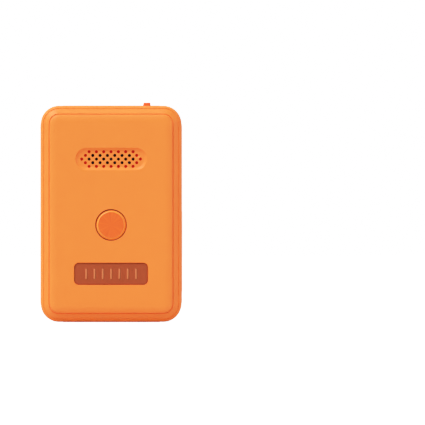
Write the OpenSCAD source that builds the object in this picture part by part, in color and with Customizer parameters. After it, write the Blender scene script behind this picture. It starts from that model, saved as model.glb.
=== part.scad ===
// Avalanche transceiver: a chunky hand-held radio beacon in a stepped, tube-shaped housing.
// The front faces -Y, the display side -X, the battery door +X, and it stands on its ribbed base at z = 0.

/* [Body] */
// Width across the side panels
body_w = 75; // [74:0.5:80]
// Depth from the front panel to the rear panel
body_d = 88; // [88:0.5:92]
// Height from the base ribs to the top ribs
body_h = 115; // [114:0.5:120]
// Corner radius of the housing as seen from the front
body_r = 9.5; // [9.2:0.1:10.5]
// Wall thickness of the housing
wall = 3; // [2.8:0.1:3.2]

/* [Stepped edge] */
// How far the shoulder's outer round reaches back from the panel plane
shoulder_depth = 6; // [5.8:0.1:6.5]
// Depth at which the shoulder's sloping strip begins
strip_depth = 3.8; // [3.6:0.1:4.1]
// Inset at which the shoulder's sloping strip begins
strip_inset = 1.5; // [1.4:0.1:1.8]
// Depth of the shoulder's inner rim
rim_depth = 1.7; // [1.5:0.1:2]
// Depth of the parting groove between shoulder and panel
parting_depth = 2.4; // [2.3:0.1:2.6]
// Inset of the parting groove
parting_inset = 4.2; // [4:0.1:4.3]

/* [Front] */
// Height of the grille's centre
grille_z = 86.5; // [84:0.5:90]
// Length of the grille recess
grille_w = 37.6; // [37:0.1:39]
// Height of the grille recess
grille_h = 11.7; // [11.5:0.1:12.5]
// Diameter of one grille hole
grille_hole_d = 1.6; // [1.3:0.1:1.7]
// Spacing of the holes along a row
grille_pitch = 3.88; // [3.8:0.02:4]
// Height of the main button's centre
button_z = 51.6; // [50:0.2:54]
// Diameter of the main button
button_d = 15.6; // [15:0.1:16]
// Travel of the main button
button_travel = 0.8; // [0.5:0.1:1]
// Height of the nameplate's centre
plate_z = 25.7; // [25:0.1:28]
// Width of the nameplate
plate_w = 38.9; // [36:0.1:40]
// Height of the nameplate
plate_h = 11.6; // [10:0.1:13]

/* [Top switch] */
// Distance of the slide switch to the right of the middle
switch_x = 18.9; // [17:0.1:20]
// Distance of the slide switch in front of the middle
switch_front = 23.9; // [23:0.1:24.5]
// Travel of the slide switch to each side
switch_travel = 2.5; // [2:0.1:3]

/* [Grip pads] */
// Number of full ribs on each pad
rib_count = 13; // [9:2:13]
// Spacing of the ribs
rib_pitch = 3.11; // [3:0.01:3.11]

/* [Display] */
// Width of the display bezel
display_w = 27.3; // [26:0.1:28]
// Height of the display bezel
display_h = 22.3; // [21:0.1:23]
// Height of the display's centre
display_z = 26.6; // [26:0.1:30]

/* [Batteries] */
// Number of cells in the tray
cell_count = 3; // [3:1:3]
// Diameter of a cell
cell_d = 10.5; // [10:0.1:10.5]
// Length of a cell without its nub
cell_l = 43.5; // [43:0.1:43.5]
// Height of the battery door
door_h = 43.1; // [43:0.1:44]

/* [Hidden] */
$fn = 64;

shell_orange = "#ef8f45";
plate_brown = "#ad5738";
salmon = "#e98f6e";
slider_red = "#e84a12";

eps = 0.01;
fit_gap = 0.15;
seam = 0.3;

// Housing
half_w = body_w / 2;
half_d = body_d / 2;
proud = 0.3;
frame_w = body_w - 2 * proud;
frame_h = body_h - 2 * proud;
mid_z = body_h / 2;
parting_y = half_d - parting_depth;
mouth_inset = 7;
mouth_r = 3;
cavity_y = half_d - 7;
edge_steps = 8;

// Covers
groove_w = 0.65;
cover_edge_inset = parting_inset + groove_w;
cover_corner = body_r - cover_edge_inset + 0.6;
cover_round = 0.75;
cover_round_angle = 77;
cover_drop = 0.45;
cover_fade = 4;
round_angle = 45;
cover_t = parting_depth;
lip_h = 3.4;
lip_t = 1.6;
gasket_t = 0.6;
gasket_inset = 5;
gasket_band = 1.2;

// Side panels
panel_w = 2 * (half_d - 6.9);
panel_h = body_h - 15;
panel_r = 4.5;
panel_t = 3;
panel_ledge = 2;
pillow_drop = 0.45;
pillow_reach = 4.2;
rebate_t = 1.6;
opening_r = 0.5;
right_crown = half_w - 0.1;

// Grille
grille_recess = 1.1;
grille_rows = [7, 8, 9, 8, 7];
row_pitch = 1.93;
blind_depth = 0.8;
grille_r = grille_h / 2 - 0.1;

// Button and its switch
button_hole_d = 16.7;
flange_d = 19;
flange_t = 0.9;
button_chamfer = 0.9;
button_lean = 0.2;
flange_y = cover_t + 0.1;
stem_d = 5;
stem_end = 5.6;
seal_t = 0.5;
seal_y = cover_t - seal_t - 0.4;
board_front_y = -33;
board_t = 1.6;
board_back_y = board_front_y + board_t;
tact_size = 6.2;
tact_h = 3.6;
plunger_d = 3.4;
plunger_l = half_d - stem_end + board_front_y - button_travel - 0.2;

// Nameplate
plate_t = 0.9;
plate_r = 2.4;
plate_recess = 0.25;
relief_t = 0.18;
relief_bars = 7;
relief_pitch = 4.4;
relief_bar_w = 1.3;
relief_bar_r = 0.6;

// Speaker
speaker_d = 27;
speaker_y = -half_d + cover_t;
mesh_t = 0.25;
speaker_gasket_t = 1;
speaker_depth = 4;
speaker_rim = 1;
surround_w = 2;
cone_t = 0.5;
cone_y = 0.5;
cone_drop = 1;
cone_cap_r = 4;
magnet_d = 12;
magnet_y = 2.2;
magnet_h = 3.2;

// Slide switch
cap_l = 9;
cap_w = 4;
cap_h = 1.4;
cap_r = 0.9;
cap_bevel = 0.3;
cap_gap = 0.05;
neck_w = 2.4;
neck_l = 3;
neck_seat = 0.5;
neck_h = wall + cap_h - cap_bevel + neck_seat;
slot_w = 3;
slider_w = 7;
slider_l = 13;
slider_t = 0.8;
top_z = body_h - proud;
ceiling_z = top_z - wall;
stem_w = 1.6;
stem_h = 3.6;
stem_gap = 1.4;
switch_body = [6, 13, 4.2];
switch_slot_w = 2;
switch_floor = 1;
switch_board_size = [18, 14, 1.2];
switch_board_top = ceiling_z - slider_t - stem_h - stem_gap;

// Grip pads
pad_w = 56.5;
pad_y = 10.1;
pad_l = (rib_count + 1) * rib_pitch + 1.1;
pad_r = 2.5;
pad_t = 0.9;
pad_proud = proud / 2;
rib_w = 1.1;
rib_h = proud - pad_proud;
end_rib_l = 40;

// Display
bezel_r = 2.5;
bezel_t = 1.8;
bezel_recess = 0.1;
bezel_bevel = 0.3;
window_flare = 0.5;
window_r = 0.1;
window_w = 20.6;
window_h = 16.2;
lens_t = 1;
lcd_t = 1.6;
lcd_margin = 1.2;
lcd_w = window_w + 2 * lcd_margin;
lcd_h = window_h + 2 * lcd_margin;
lcd_r = 0.4;
segment_w = 5.3;
segment_h = 9.7;
segment_t = 0.1;
segment_r = 0.2;
lcd_front = half_w - bezel_t - lens_t - segment_t;
lcd_back = lcd_front - lcd_t;
holder_t = 1.4;
holder_rim = 1;
holder_r = 0.6;
display_gasket_rim = 2;
display_gasket_r = 1.5;
display_board_w = 30;
display_board_h = 26;
display_board_t = 1.2;
display_board_r = 1;
flex_t = 0.2;
flex_w = 10;
flex_bend = 3;
flex_run = 20;
flex_tail = 6;

// Batteries and door
cell_x = 27.4;
cell_pitch = 11.2;
bay_z = 37.35;
cell_nub_d = 4;
cell_nub_h = 0.8;
tray_wall = 1.3;
tray_l = 53;
tray_h = (cell_count - 1) * cell_pitch + cell_d + 1 + 2 * tray_wall;
tray_in = 20.6;
tray_out = half_w - proud - panel_t;
spring_wire = 0.6;
spring_turns = 4;
spring_r = 3.2;
contact_t = 0.4;
contact_w = 9;
door_t = 1.9;
door_front = -33;
hinge_y = 31.5;
hinge_x = half_w - 1.5;
knuckle_r = 1.5;
hinge_pin_r = 0.8;
hinge_pin_l = door_h + 5;
running_gap = 0.05;
lug_w = 4;
lug_h = 4;
lug_depth = proud + panel_t / 2 + 0.6;
door_r = 3;
bay_l = tray_l - 2 * tray_wall;
bay_h = tray_h - 2 * tray_wall;
seal_band = 1.6;
seal_groove = 0.5;
seal_play = 0.4;
seal_r = 2;
seal_floor = 0.02;
lock_y = -30;
lock_head_r = 2.2;
lock_head_t = 1.2;
lock_shank_r = 1.2;
lock_reach = 2.2;
lock_boss_r = 2.9;
lock_slot_w = 0.8;
lock_slot_depth = 0.6;
lock_slot_l = 3.4;
lock_shank_l = door_t + seam + lock_reach - 0.4;

// Boards and antennas
board_w = 60;
board_h = 96;
board_z = mid_z - 1;
post_r = 2.6;
post_l = board_front_y + parting_y;
screw_inset = 4;
screw_r = 1.1;
screw_head_r = 2.1;
screw_head_t = 1.4;
screw_l = board_t + 5;
// Chips as [width, thickness, height, x, z] and the row of small resistors under them.
chips = [[10, 1.4, 10, -8, 62], [6, 1.2, 5, 10, 60], [3.2, 1, 2.5, 18, 82], [7, 2, 3, -18, 78]];
resistor = [1.2, 0.7, 2];
resistor_count = 6;
resistor_x = -12;
resistor_pitch = 4;
resistor_z = 72;
can = [22, 3, 16];
can_x = 2;
can_z = 88;
rear_screw_x = 27;
rear_screw_z = 46.6;
rear_screw_l = 12;
rear_screw_r = 1.3;
rear_head_r = 2.4;
rear_head_t = 1.6;
boss_r = 3.4;
boss_l = 18;
boss_web = 1.6 * boss_r;
cover_boss_r = 2.8;
socket_r = 1.1;
socket_depth = 0.9;
ferrite_r = 4;
winding_r = 5;
winding_share = 0.55;
winding_gap = 0.3;
long_x = -20;
long_y = 24;
long_l = 84;
cross_x = 4;
cross_l = 40;
cross_z = 84;
cross_y = 16;
short_l = 26;
short_x = 16;
short_z = 68;
carrier_t = 2;
spine_y = parting_y - 8;
spine_w = 14;
spine_l = 80;
clip_t = 4;
foot = [8, 7.5, 6];
foot_z = 20;
arm_w = 12;

// Turns a piece drawn face up so that its face looks out of the named side.
module face_front() { rotate([90, 0, 0]) children(); }
module face_rear() { rotate([90, 0, 180]) children(); }
module face_left() { rotate([90, 0, -90]) children(); }
module face_right() { rotate([90, 0, 90]) children(); }
module face_down() { rotate([180, 0, 0]) children(); }

// A rounded rectangular plate whose edge follows [inset, height] points from the bottom face to the top.
module moulded_plate(w, h, r, edge) {
    low = edge[0][1];
    high = edge[len(edge) - 1][1];
    profile = concat([[0, low]], [for (p = edge) [r - p[0], p[1]]], [[0, high]]);
    for (turn = [0:3]) {
        across = turn % 2 == 0 ? w : h;
        along = turn % 2 == 0 ? h : w;
        rotate(turn * 90) {
            translate([across / 2 - r, along / 2 - r, 0]) {
                rotate_extrude(angle = 90) polygon(profile);
                rotate([90, 0, 0]) linear_extrude(along - 2 * r) polygon(profile);
            }
        }
    }
    translate([r - w / 2, r - h / 2, low]) cube([w - 2 * r, h - 2 * r, high - low]);
}

// A straight-sided rounded plate from height low to height high.
module plain_plate(w, h, r, low, high) {
    moulded_plate(w, h, r, [[0, low], [0, high]]);
}

module centred_box(size, at) {
    translate([at[0] - size[0] / 2, at[1] - size[1] / 2, at[2] - size[2] / 2]) cube(size);
}

// The shoulder from the side wall to its inner rim, as [inset, distance in front of the middle].
function shoulder() = concat(
    [for (i = [0:edge_steps]) [
        strip_inset * (1 - cos(round_angle * i / edge_steps)) / (1 - cos(round_angle)),
        half_d - shoulder_depth
            + (shoulder_depth - strip_depth) * sin(round_angle * i / edge_steps) / sin(round_angle)
    ]],
    [[parting_inset, half_d - rim_depth]]
);

function backwards(points) = [for (i = [len(points) - 1:-1:0]) [points[i][0], -points[i][1]]];

// The raised panel's edge: a wall, a round and a long fade up to the flat face.
function cover_edge() = concat(
    [[0, 0]],
    [for (i = [0:edge_steps]) [
        cover_round * (1 - cos(cover_round_angle * i / edge_steps)),
        cover_t - cover_drop
            - cover_round * (sin(cover_round_angle) - sin(cover_round_angle * i / edge_steps))
    ]],
    [for (i = [1:edge_steps]) [
        cover_round * (1 - cos(cover_round_angle)) + cover_fade * i / edge_steps,
        cover_t - cover_drop * pow(1 - i / edge_steps, 2)
    ]]
);

// A softly crowned panel edge that ends flush with height top.
function pillow_edge(low, top) = concat([[0, low]], [for (i = [0:edge_steps]) [
    pillow_reach * pow(i / edge_steps, 2),
    top - pillow_drop * pow(1 - i / edge_steps, 2)
]]);

module body_frame() {
    color(shell_orange) difference() {
        union() {
            difference() {
                translate([0, 0, mid_z]) face_front()
                    moulded_plate(frame_w, frame_h, body_r, concat(backwards(shoulder()), shoulder()));
                translate([0, 0, mid_z]) face_front()
                    plain_plate(
                        frame_w - 2 * wall, frame_h - 2 * wall, body_r - wall, -cavity_y, cavity_y
                    );
                translate([0, 0, mid_z]) face_front()
                    plain_plate(
                        body_w - 2 * mouth_inset, body_h - 2 * mouth_inset, mouth_r, -half_d, half_d
                    );
            }
            rear_bosses();
        }
        for (side = [0, 180]) {
            translate([0, 0, mid_z]) rotate(side) face_left() {
                plain_plate(panel_w + seam, panel_h + seam, panel_r, half_w - rebate_t - proud, half_w);
                plain_plate(
                    panel_w - 2 * panel_ledge, panel_h - 2 * panel_ledge, panel_r - panel_ledge,
                    half_w - 2 * wall, half_w
                );
            }
        }
        for (low = [parting_y, -half_d]) {
            translate([0, 0, mid_z]) face_front() plain_plate(
                body_w - 2 * parting_inset, body_h - 2 * parting_inset, body_r - parting_inset,
                low, low + parting_depth
            );
        }
        translate([0, -parting_y, mid_z]) face_front() gasket(-gasket_t, 1);
        translate([0, parting_y, mid_z]) face_rear() gasket(-gasket_t, 1);
        for (flip = [0, 180]) {
            translate([0, pad_y, mid_z]) rotate([flip, 0, 0])
                plain_plate(
                    pad_w + fit_gap, pad_l + fit_gap, pad_r, frame_h / 2 - pad_t + pad_proud, body_h
                );
        }
        centred_box(
            [slot_w, neck_l + 2 * switch_travel + seam, 3 * wall],
            [switch_x, -switch_front, top_z]
        );
        for (spot = rear_screw_spots()) {
            translate([spot[0], half_d - rear_screw_l - parting_depth, spot[1]]) rotate([-90, 0, 0])
                cylinder(r = rear_screw_r, h = half_d);
        }
    }
}

function rear_screw_spots() = [
    for (sx = [-1, 1]) for (sz = [-1, 1]) [sx * rear_screw_x, mid_z + sz * rear_screw_z]
];

module rear_bosses() {
    for (spot = rear_screw_spots()) {
        translate([spot[0], parting_y - lip_h - boss_l, spot[1]]) rotate([-90, 0, 0])
            cylinder(r = boss_r, h = boss_l);
        out = spot[0] > 0 ? 1 : -1;
        up = spot[1] > mid_z ? 1 : -1;
        centred_box(
            [boss_web, boss_l, boss_web],
            [spot[0] + out * boss_r, parting_y - lip_h - boss_l / 2, spot[1] + up * 1.2 * boss_r]
        );
    }
}

// A raised panel with a locating lip behind it.
module cover_blank() {
    moulded_plate(
        body_w - 2 * cover_edge_inset, body_h - 2 * cover_edge_inset, cover_corner,
        cover_edge()
    );
    difference() {
        lip_w = body_w - 2 * mouth_inset - 2 * fit_gap;
        lip_z = body_h - 2 * mouth_inset - 2 * fit_gap;
        plain_plate(lip_w, lip_z, mouth_r, -lip_h, eps);
        plain_plate(lip_w - 2 * lip_t, lip_z - 2 * lip_t, mouth_r - lip_t, -lip_h - 1, 1);
    }
}

module front_cover() {
    color(shell_orange) translate([0, -parting_y, mid_z]) face_front() difference() {
        union() {
            cover_blank();
            for (spot = board_screw_spots()) {
                translate([spot[0], spot[1] - mid_z, -post_l])
                    cylinder(r = post_r, h = post_l + eps);
            }
        }
        translate([0, grille_z - mid_z, cover_t - grille_recess])
            plain_plate(grille_w, grille_h, grille_r, 0, grille_recess + 1);
        for (hole = grille_holes()) {
            depth = hole[2] ? cover_t : blind_depth;
            translate([hole[0], grille_z - mid_z + hole[1], cover_t - grille_recess - depth])
                cylinder(d = grille_hole_d, h = depth + 1, $fn = 24);
        }
        translate([0, button_z - mid_z, -lip_h - 1])
            cylinder(d = button_hole_d, h = cover_t + lip_h + 2);
        translate([0, plate_z - mid_z, cover_t - plate_t - plate_recess])
            plain_plate(plate_w + fit_gap, plate_h + fit_gap, plate_r, 0, plate_t + 1);
        for (spot = board_screw_spots()) {
            translate([spot[0], spot[1] - mid_z, -post_l - 1])
                cylinder(r = screw_r, h = post_l);
        }
    }
}

function board_screw_spots() = [
    for (sx = [-1, 1]) for (sz = [-1, 1]) [
        sx * (board_w / 2 - screw_inset), board_z + sz * (board_h / 2 - screw_inset)
    ]
];

// [x, y, goes right through] for every hole of the staggered grille.
function grille_holes() = [
    for (row = [0:len(grille_rows) - 1])
        for (i = [0:grille_rows[row] - 1])
            [
                (i - (grille_rows[row] - 1) / 2) * grille_pitch,
                (row - (len(grille_rows) - 1) / 2) * row_pitch,
                row > 0 && row < len(grille_rows) - 1 && i > 0 && i < grille_rows[row] - 1
            ]
];

module rear_cover() {
    color(shell_orange) translate([0, parting_y, mid_z]) face_rear() difference() {
        union() {
            cover_blank();
            for (spot = rear_screw_spots()) {
                translate([spot[0], spot[1] - mid_z, -lip_h + fit_gap])
                    cylinder(r = cover_boss_r, h = lip_h);
            }
        }
        for (spot = rear_screw_spots()) {
            translate([spot[0], spot[1] - mid_z, -lip_h - 1]) {
                cylinder(r = rear_screw_r + fit_gap, h = half_d);
                translate([0, 0, lip_h + 1 + cover_t - rear_head_t - seam])
                    cylinder(r = rear_head_r + fit_gap, h = half_d);
            }
        }
    }
}

// The band between a cover and the housing, from height low to height high over the parting plane.
module gasket(low, high) {
    difference() {
        plain_plate(body_w - 2 * gasket_inset, body_h - 2 * gasket_inset, body_r - gasket_inset, low, high);
        plain_plate(
            body_w - 2 * (gasket_inset + gasket_band), body_h - 2 * (gasket_inset + gasket_band),
            body_r - gasket_inset - gasket_band, low - 1, high + 1
        );
    }
}

module front_gasket() {
    color("#222222") translate([0, -parting_y, mid_z]) face_front() gasket(-gasket_t, 0);
}

module rear_gasket() {
    color("#222222") translate([0, parting_y, mid_z]) face_rear() gasket(-gasket_t, 0);
}

module side_panel(top) {
    moulded_plate(panel_w, panel_h, panel_r, pillow_edge(half_w - proud - rebate_t + eps, top));
    plain_plate(
        panel_w - 2 * panel_ledge - seam, panel_h - 2 * panel_ledge - seam, panel_r - panel_ledge,
        half_w - proud - panel_t, half_w - proud - rebate_t + 2 * eps
    );
}

module left_side_panel() {
    color(shell_orange) difference() {
        translate([0, 0, mid_z]) face_left() side_panel(half_w);
        translate([0, 0, display_z]) face_left() {
            plain_plate(display_w + fit_gap, display_h + fit_gap, bezel_r, half_w - bezel_t, half_w + 1);
            plain_plate(lcd_w, lcd_h, opening_r, half_w - 2 * wall, half_w);
        }
    }
}

module right_side_panel() {
    door_mid = (door_front + hinge_y) / 2;
    color(shell_orange) difference() {
        union() {
            translate([0, 0, mid_z]) face_right() side_panel(right_crown);
            translate([half_w - proud - panel_t + eps, lock_y, bay_z]) rotate([0, -90, 0])
                cylinder(r = lock_boss_r, h = lock_reach);
            for (end = [-1, 1]) {
                centred_box(
                    [panel_t, lug_w, lug_h],
                    [half_w - lug_depth, hinge_y, bay_z + end * (door_h / 2 + lug_h / 2 + seam)]
                );
            }
        }
        translate([0, door_mid, bay_z]) face_right()
            plain_plate(
                hinge_y - door_front + 2 * seam, door_h + 2 * seam, door_r,
                half_w - door_t - seam, half_w + 1
            );
        translate([hinge_x, hinge_y, bay_z - door_h / 2 - seam]) {
            cylinder(r = knuckle_r + seam, h = door_h + 2 * seam);
            cube([2 * knuckle_r, knuckle_r + 2 * seam, door_h + 2 * seam]);
        }
        centred_box([4 * wall, bay_l, bay_h], [half_w, 0, bay_z]);
        translate([half_w - door_t - seam, lock_y, bay_z]) rotate([0, -90, 0])
            translate([0, 0, -1]) cylinder(r = lock_shank_r + seam, h = lock_reach + 2);
        translate([hinge_x, hinge_y, bay_z - hinge_pin_l / 2 - eps])
            cylinder(r = hinge_pin_r + eps, h = hinge_pin_l + 2 * eps);
    }
}

module grip_pad() {
    plain_plate(pad_w, pad_l, pad_r, body_h / 2 - proud - pad_t + pad_proud, body_h / 2 - rib_h);
    for (i = [0:rib_count + 1]) {
        outer = i == 0 || i == rib_count + 1;
        centred_box(
            [outer ? end_rib_l : pad_w - 2 * pad_r, rib_w, 2 * rib_h],
            [0, (i - (rib_count + 1) / 2) * rib_pitch, body_h / 2 - rib_h]
        );
    }
}

module top_grip_pad() {
    color(shell_orange) translate([0, pad_y, mid_z]) grip_pad();
}

module bottom_grip_pad() {
    color(shell_orange) translate([0, pad_y, mid_z]) face_down() grip_pad();
}

module nameplate() {
    color(plate_brown) translate([0, -half_d + plate_recess + plate_t, plate_z]) face_front() {
        plain_plate(plate_w, plate_h, plate_r, 0, plate_t - relief_t);
        for (i = [0:relief_bars - 1]) {
            translate([(i - (relief_bars - 1) / 2) * relief_pitch, 0, 0])
                plain_plate(relief_bar_w, plate_h / 2, relief_bar_r, 0, plate_t);
        }
    }
}

module main_button() {
    radius = button_d / 2;
    color("#ee7a36") translate([0, -half_d, button_z]) rotate([-90, 0, 0]) rotate_extrude()
        polygon([
            [0, 0], [radius - button_chamfer - button_lean, 0],
            [radius - button_lean, 0.4 * button_chamfer],
            [radius, button_chamfer], [radius, flange_y], [flange_d / 2, flange_y],
            [flange_d / 2, flange_y + flange_t], [stem_d / 2, flange_y + flange_t],
            [stem_d / 2, stem_end], [0, stem_end]
        ]);
}

module button_seal() {
    color("#222222") translate([0, -half_d + seal_y, button_z]) rotate([-90, 0, 0])
        difference() {
            cylinder(d = button_hole_d - 2 * running_gap, h = seal_t);
            translate([0, 0, -1]) cylinder(d = button_d, h = seal_t + 2);
        }
}

module tact_switch() {
    color("#2b2b2b") difference() {
        centred_box([tact_size, tact_h, tact_size], [0, board_front_y - tact_h / 2, button_z]);
        translate([0, board_front_y + 1, button_z]) rotate([90, 0, 0])
            cylinder(d = plunger_d + 2 * running_gap, h = tact_h + 2);
    }
}

module tact_plunger() {
    color("#c8c8c8") translate([0, -half_d + stem_end, button_z]) rotate([-90, 0, 0])
        cylinder(d = plunger_d, h = plunger_l);
}

module speaker_mesh() {
    color("#101010") translate([0, speaker_y, grille_z]) rotate([-90, 0, 0])
        cylinder(d = speaker_d, h = mesh_t);
}

module speaker_gasket() {
    color("#222222") translate([0, speaker_y + mesh_t, grille_z]) rotate([-90, 0, 0]) difference() {
        cylinder(d = speaker_d, h = speaker_gasket_t);
        translate([0, 0, -1]) cylinder(d = speaker_d - 2 * surround_w, h = speaker_gasket_t + 2);
    }
}

module speaker_frame() {
    color("#8d9094") translate([0, speaker_y + mesh_t + speaker_gasket_t, grille_z]) rotate([-90, 0, 0])
        difference() {
            cylinder(d = speaker_d, h = speaker_depth);
            translate([0, 0, -1]) cylinder(d = speaker_d - 2 * speaker_rim, h = speaker_depth);
            cylinder(d = magnet_d + 2 * running_gap, h = speaker_depth + 1);
        }
}

module speaker_cone() {
    radius = speaker_d / 2 - speaker_rim - running_gap;
    slope = radius - surround_w;
    color("#303030") translate([0, speaker_y + mesh_t + speaker_gasket_t, grille_z]) rotate([-90, 0, 0])
        rotate_extrude()
            polygon([
                [0, cone_y + cone_drop], [cone_cap_r, cone_y + cone_drop], [slope, cone_y],
                [radius, cone_y], [radius, cone_y + cone_t], [slope, cone_y + cone_t],
                [cone_cap_r, cone_y + cone_drop + cone_t], [0, cone_y + cone_drop + cone_t]
            ]);
}

module speaker_magnet() {
    color("#b9bcc0") translate([0, speaker_y + mesh_t + speaker_gasket_t + magnet_y, grille_z])
        rotate([-90, 0, 0]) cylinder(d = magnet_d, h = magnet_h);
}

module slide_switch_cap() {
    color(slider_red) translate([switch_x, -switch_front, top_z]) {
        moulded_plate(
            cap_w, cap_l, cap_r,
            [[0, cap_gap], [0, cap_h - cap_bevel], [cap_bevel, cap_h + proud]]
        );
        centred_box([neck_w, neck_l, neck_h], [0, 0, cap_h - cap_bevel - neck_h / 2]);
    }
}

module slide_switch_slider() {
    color("#303030") translate([switch_x, -switch_front, 0]) {
        difference() {
            centred_box([slider_w, slider_l, slider_t], [0, 0, ceiling_z - cap_gap - slider_t / 2]);
            centred_box([neck_w, neck_l, 2 * neck_seat], [0, 0, ceiling_z]);
        }
        centred_box([stem_w, stem_w, stem_h], [0, 0, ceiling_z - slider_t - stem_h / 2]);
    }
}

module slide_switch_body() {
    middle_z = switch_board_top + switch_body[2] / 2;
    color("#8d9094") translate([switch_x, -switch_front, 0]) difference() {
        centred_box(switch_body, [0, 0, middle_z]);
        centred_box(
            [switch_slot_w, stem_w + 2 * switch_travel + seam, switch_body[2]],
            [0, 0, middle_z + switch_floor]
        );
    }
}

module switch_board() {
    color("#1f6b45") centred_box(
        switch_board_size,
        [switch_x, -switch_front, switch_board_top - switch_board_size[2] / 2]
    );
}

module display_bezel() {
    color(salmon) translate([0, 0, display_z]) face_left() difference() {
        moulded_plate(
            display_w, display_h, bezel_r,
            [
                [0, half_w - bezel_t], [0, half_w - bezel_recess - bezel_bevel],
                [bezel_bevel, half_w - bezel_recess]
            ]
        );
        moulded_plate(
            window_w + 2 * window_flare, window_h + 2 * window_flare, window_flare + window_r,
            [[window_flare, half_w - bezel_t - 1], [window_flare, half_w - bezel_t / 2], [0, half_w]]
        );
    }
}

module display_lens() {
    color("#dfe6e0") translate([0, 0, display_z]) face_left()
        plain_plate(lcd_w - seam, lcd_h - seam, opening_r, half_w - bezel_t - lens_t, half_w - bezel_t);
}

module display_gasket() {
    color("#222222") translate([0, 0, display_z]) face_left() difference() {
        plain_plate(
            lcd_w + 2 * display_gasket_rim, lcd_h + 2 * display_gasket_rim, display_gasket_r,
            lcd_back, half_w - proud - panel_t
        );
        plain_plate(lcd_w, lcd_h, opening_r, 0, half_w);
    }
}

module lcd_panel() {
    color("#61765f") translate([0, 0, display_z]) face_left()
        plain_plate(lcd_w - seam, lcd_h - seam, lcd_r, lcd_back, lcd_front);
}

module lcd_segment_block() {
    color("#4a4a4a") translate([0, 0, display_z]) face_left()
        plain_plate(segment_w, segment_h, segment_r, lcd_front, lcd_front + segment_t);
}

module lcd_holder() {
    color("#e8e8e4") translate([0, 0, display_z]) face_left()
        plain_plate(
            lcd_w + 2 * holder_rim, lcd_h + 2 * holder_rim, holder_r, lcd_back - holder_t, lcd_back
        );
}

module display_board() {
    color("#1f6b45") translate([0, 0, display_z]) face_left()
        plain_plate(
            display_board_w, display_board_h, display_board_r,
            lcd_back - holder_t - display_board_t, lcd_back - holder_t
        );
}

module flex_cable() {
    board_x = holder_t + display_board_t - lcd_back;
    turn = flex_bend + flex_t;
    color("#c98a3c") translate([board_x, board_back_y, display_z - flex_w / 2]) {
        translate([0, turn, 0]) cube([flex_t, flex_run, flex_w]);
        translate([turn, turn, 0]) rotate(180)
            rotate_extrude(angle = 90) translate([flex_bend, 0]) square([flex_t, flex_w]);
        translate([turn, 0, 0]) cube([flex_tail, flex_t, flex_w]);
    }
}

module main_board() {
    color("#1f6b45") difference() {
        centred_box([board_w, board_t, board_h], [0, board_front_y + board_t / 2, board_z]);
        for (spot = board_screw_spots()) {
            translate([spot[0], board_front_y - 1, spot[1]]) rotate([-90, 0, 0])
                cylinder(r = screw_r + fit_gap, h = board_t + 2);
        }
    }
}

module board_components() {
    color("#262626") {
        for (chip = chips) {
            centred_box([chip[0], chip[1], chip[2]], [chip[3], board_back_y + chip[1] / 2, chip[4]]);
        }
        for (i = [0:resistor_count - 1]) {
            centred_box(
                resistor,
                [resistor_x + i * resistor_pitch, board_back_y + resistor[1] / 2, resistor_z]
            );
        }
    }
}

module shield_can() {
    color("#c9ccd0") centred_box(can, [can_x, board_back_y + can[1] / 2, can_z]);
}

module board_screws() {
    color("#9a9da1") for (spot = board_screw_spots()) {
        translate([spot[0], board_back_y, spot[1]]) {
            rotate([-90, 0, 0]) cylinder(r = screw_head_r, h = screw_head_t);
            rotate([90, 0, 0]) cylinder(r = screw_r - running_gap, h = screw_l);
        }
    }
}

// A ferrite rod along Z, centred on the origin, and the coil around its middle.
module ferrite_rod(length) { translate([0, 0, -length / 2]) cylinder(r = ferrite_r, h = length); }
module coil(length) {
    difference() {
        translate([0, 0, -length / 2]) cylinder(r = winding_r, h = length);
        translate([0, 0, -length]) cylinder(r = ferrite_r, h = 2 * length);
    }
}
module at_long() { translate([long_x, long_y, mid_z]) children(); }
module at_cross() { translate([cross_x, cross_y, cross_z]) rotate([0, 90, 0]) children(); }
module at_short() { translate([short_x, 0, short_z]) rotate([90, 0, 0]) children(); }

module antenna_long_core() { color("#3a3a3c") at_long() ferrite_rod(long_l); }
module antenna_long_winding() { color("#b5672c") at_long() coil(long_l * winding_share); }
module antenna_cross_core() { color("#3a3a3c") at_cross() ferrite_rod(cross_l); }
module antenna_cross_winding() { color("#b5672c") at_cross() coil(cross_l * winding_share); }
module antenna_short_core() { color("#3a3a3c") at_short() ferrite_rod(short_l); }
module antenna_short_winding() { color("#b5672c") at_short() coil(short_l * winding_share); }

// An arm of the carrier from the plane y = front to the back of the spine.
module clip(size, at, front) {
    translate([at[0] - size[0] / 2, front, at[1] - size[1] / 2])
        cube([size[0], spine_y + carrier_t / 2 - front, size[1]]);
}

// One moulded spine that clips round the ends of the three rods and reaches the rear cover's inner face.
module antenna_carrier() {
    color("#d9d6cc") difference() {
        union() {
            centred_box([spine_w, carrier_t, spine_l], [long_x, spine_y, mid_z]);
            for (end = [-1, 1]) {
                clip([spine_w, clip_t], [long_x, mid_z + end * (long_l / 2 - 5)], long_y - ferrite_r - 1.5);
                centred_box(foot, [long_x, parting_y - foot[1] / 2, mid_z + end * foot_z]);
                clip([clip_t, arm_w], [cross_x + end * (cross_l / 2 - 3), cross_z], cross_y - 6.5);
            }
            centred_box([50, carrier_t, arm_w], [cross_x, spine_y, cross_z]);
            centred_box([arm_w, carrier_t, 30], [short_x, spine_y, short_z + 9]);
            clip([arm_w, clip_t], [short_x, short_z + 6.5], 10.6);
        }
        at_long() ferrite_rod(long_l + 1);
        at_cross() ferrite_rod(cross_l + 1);
        at_cross() cylinder(r = winding_r + winding_gap, h = 0.6 * cross_l, center = true);
        at_short() cylinder(r = winding_r + winding_gap, h = short_l + 1, center = true);
    }
}

module battery_tray() {
    color("#2e2e30") difference() {
        centred_box(
            [tray_out - tray_in, tray_l, tray_h],
            [(tray_out + tray_in) / 2, 0, bay_z]
        );
        centred_box(
            [tray_out - tray_in, bay_l, bay_h],
            [(tray_out + tray_in) / 2 + tray_wall, 0, bay_z]
        );
    }
}

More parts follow.
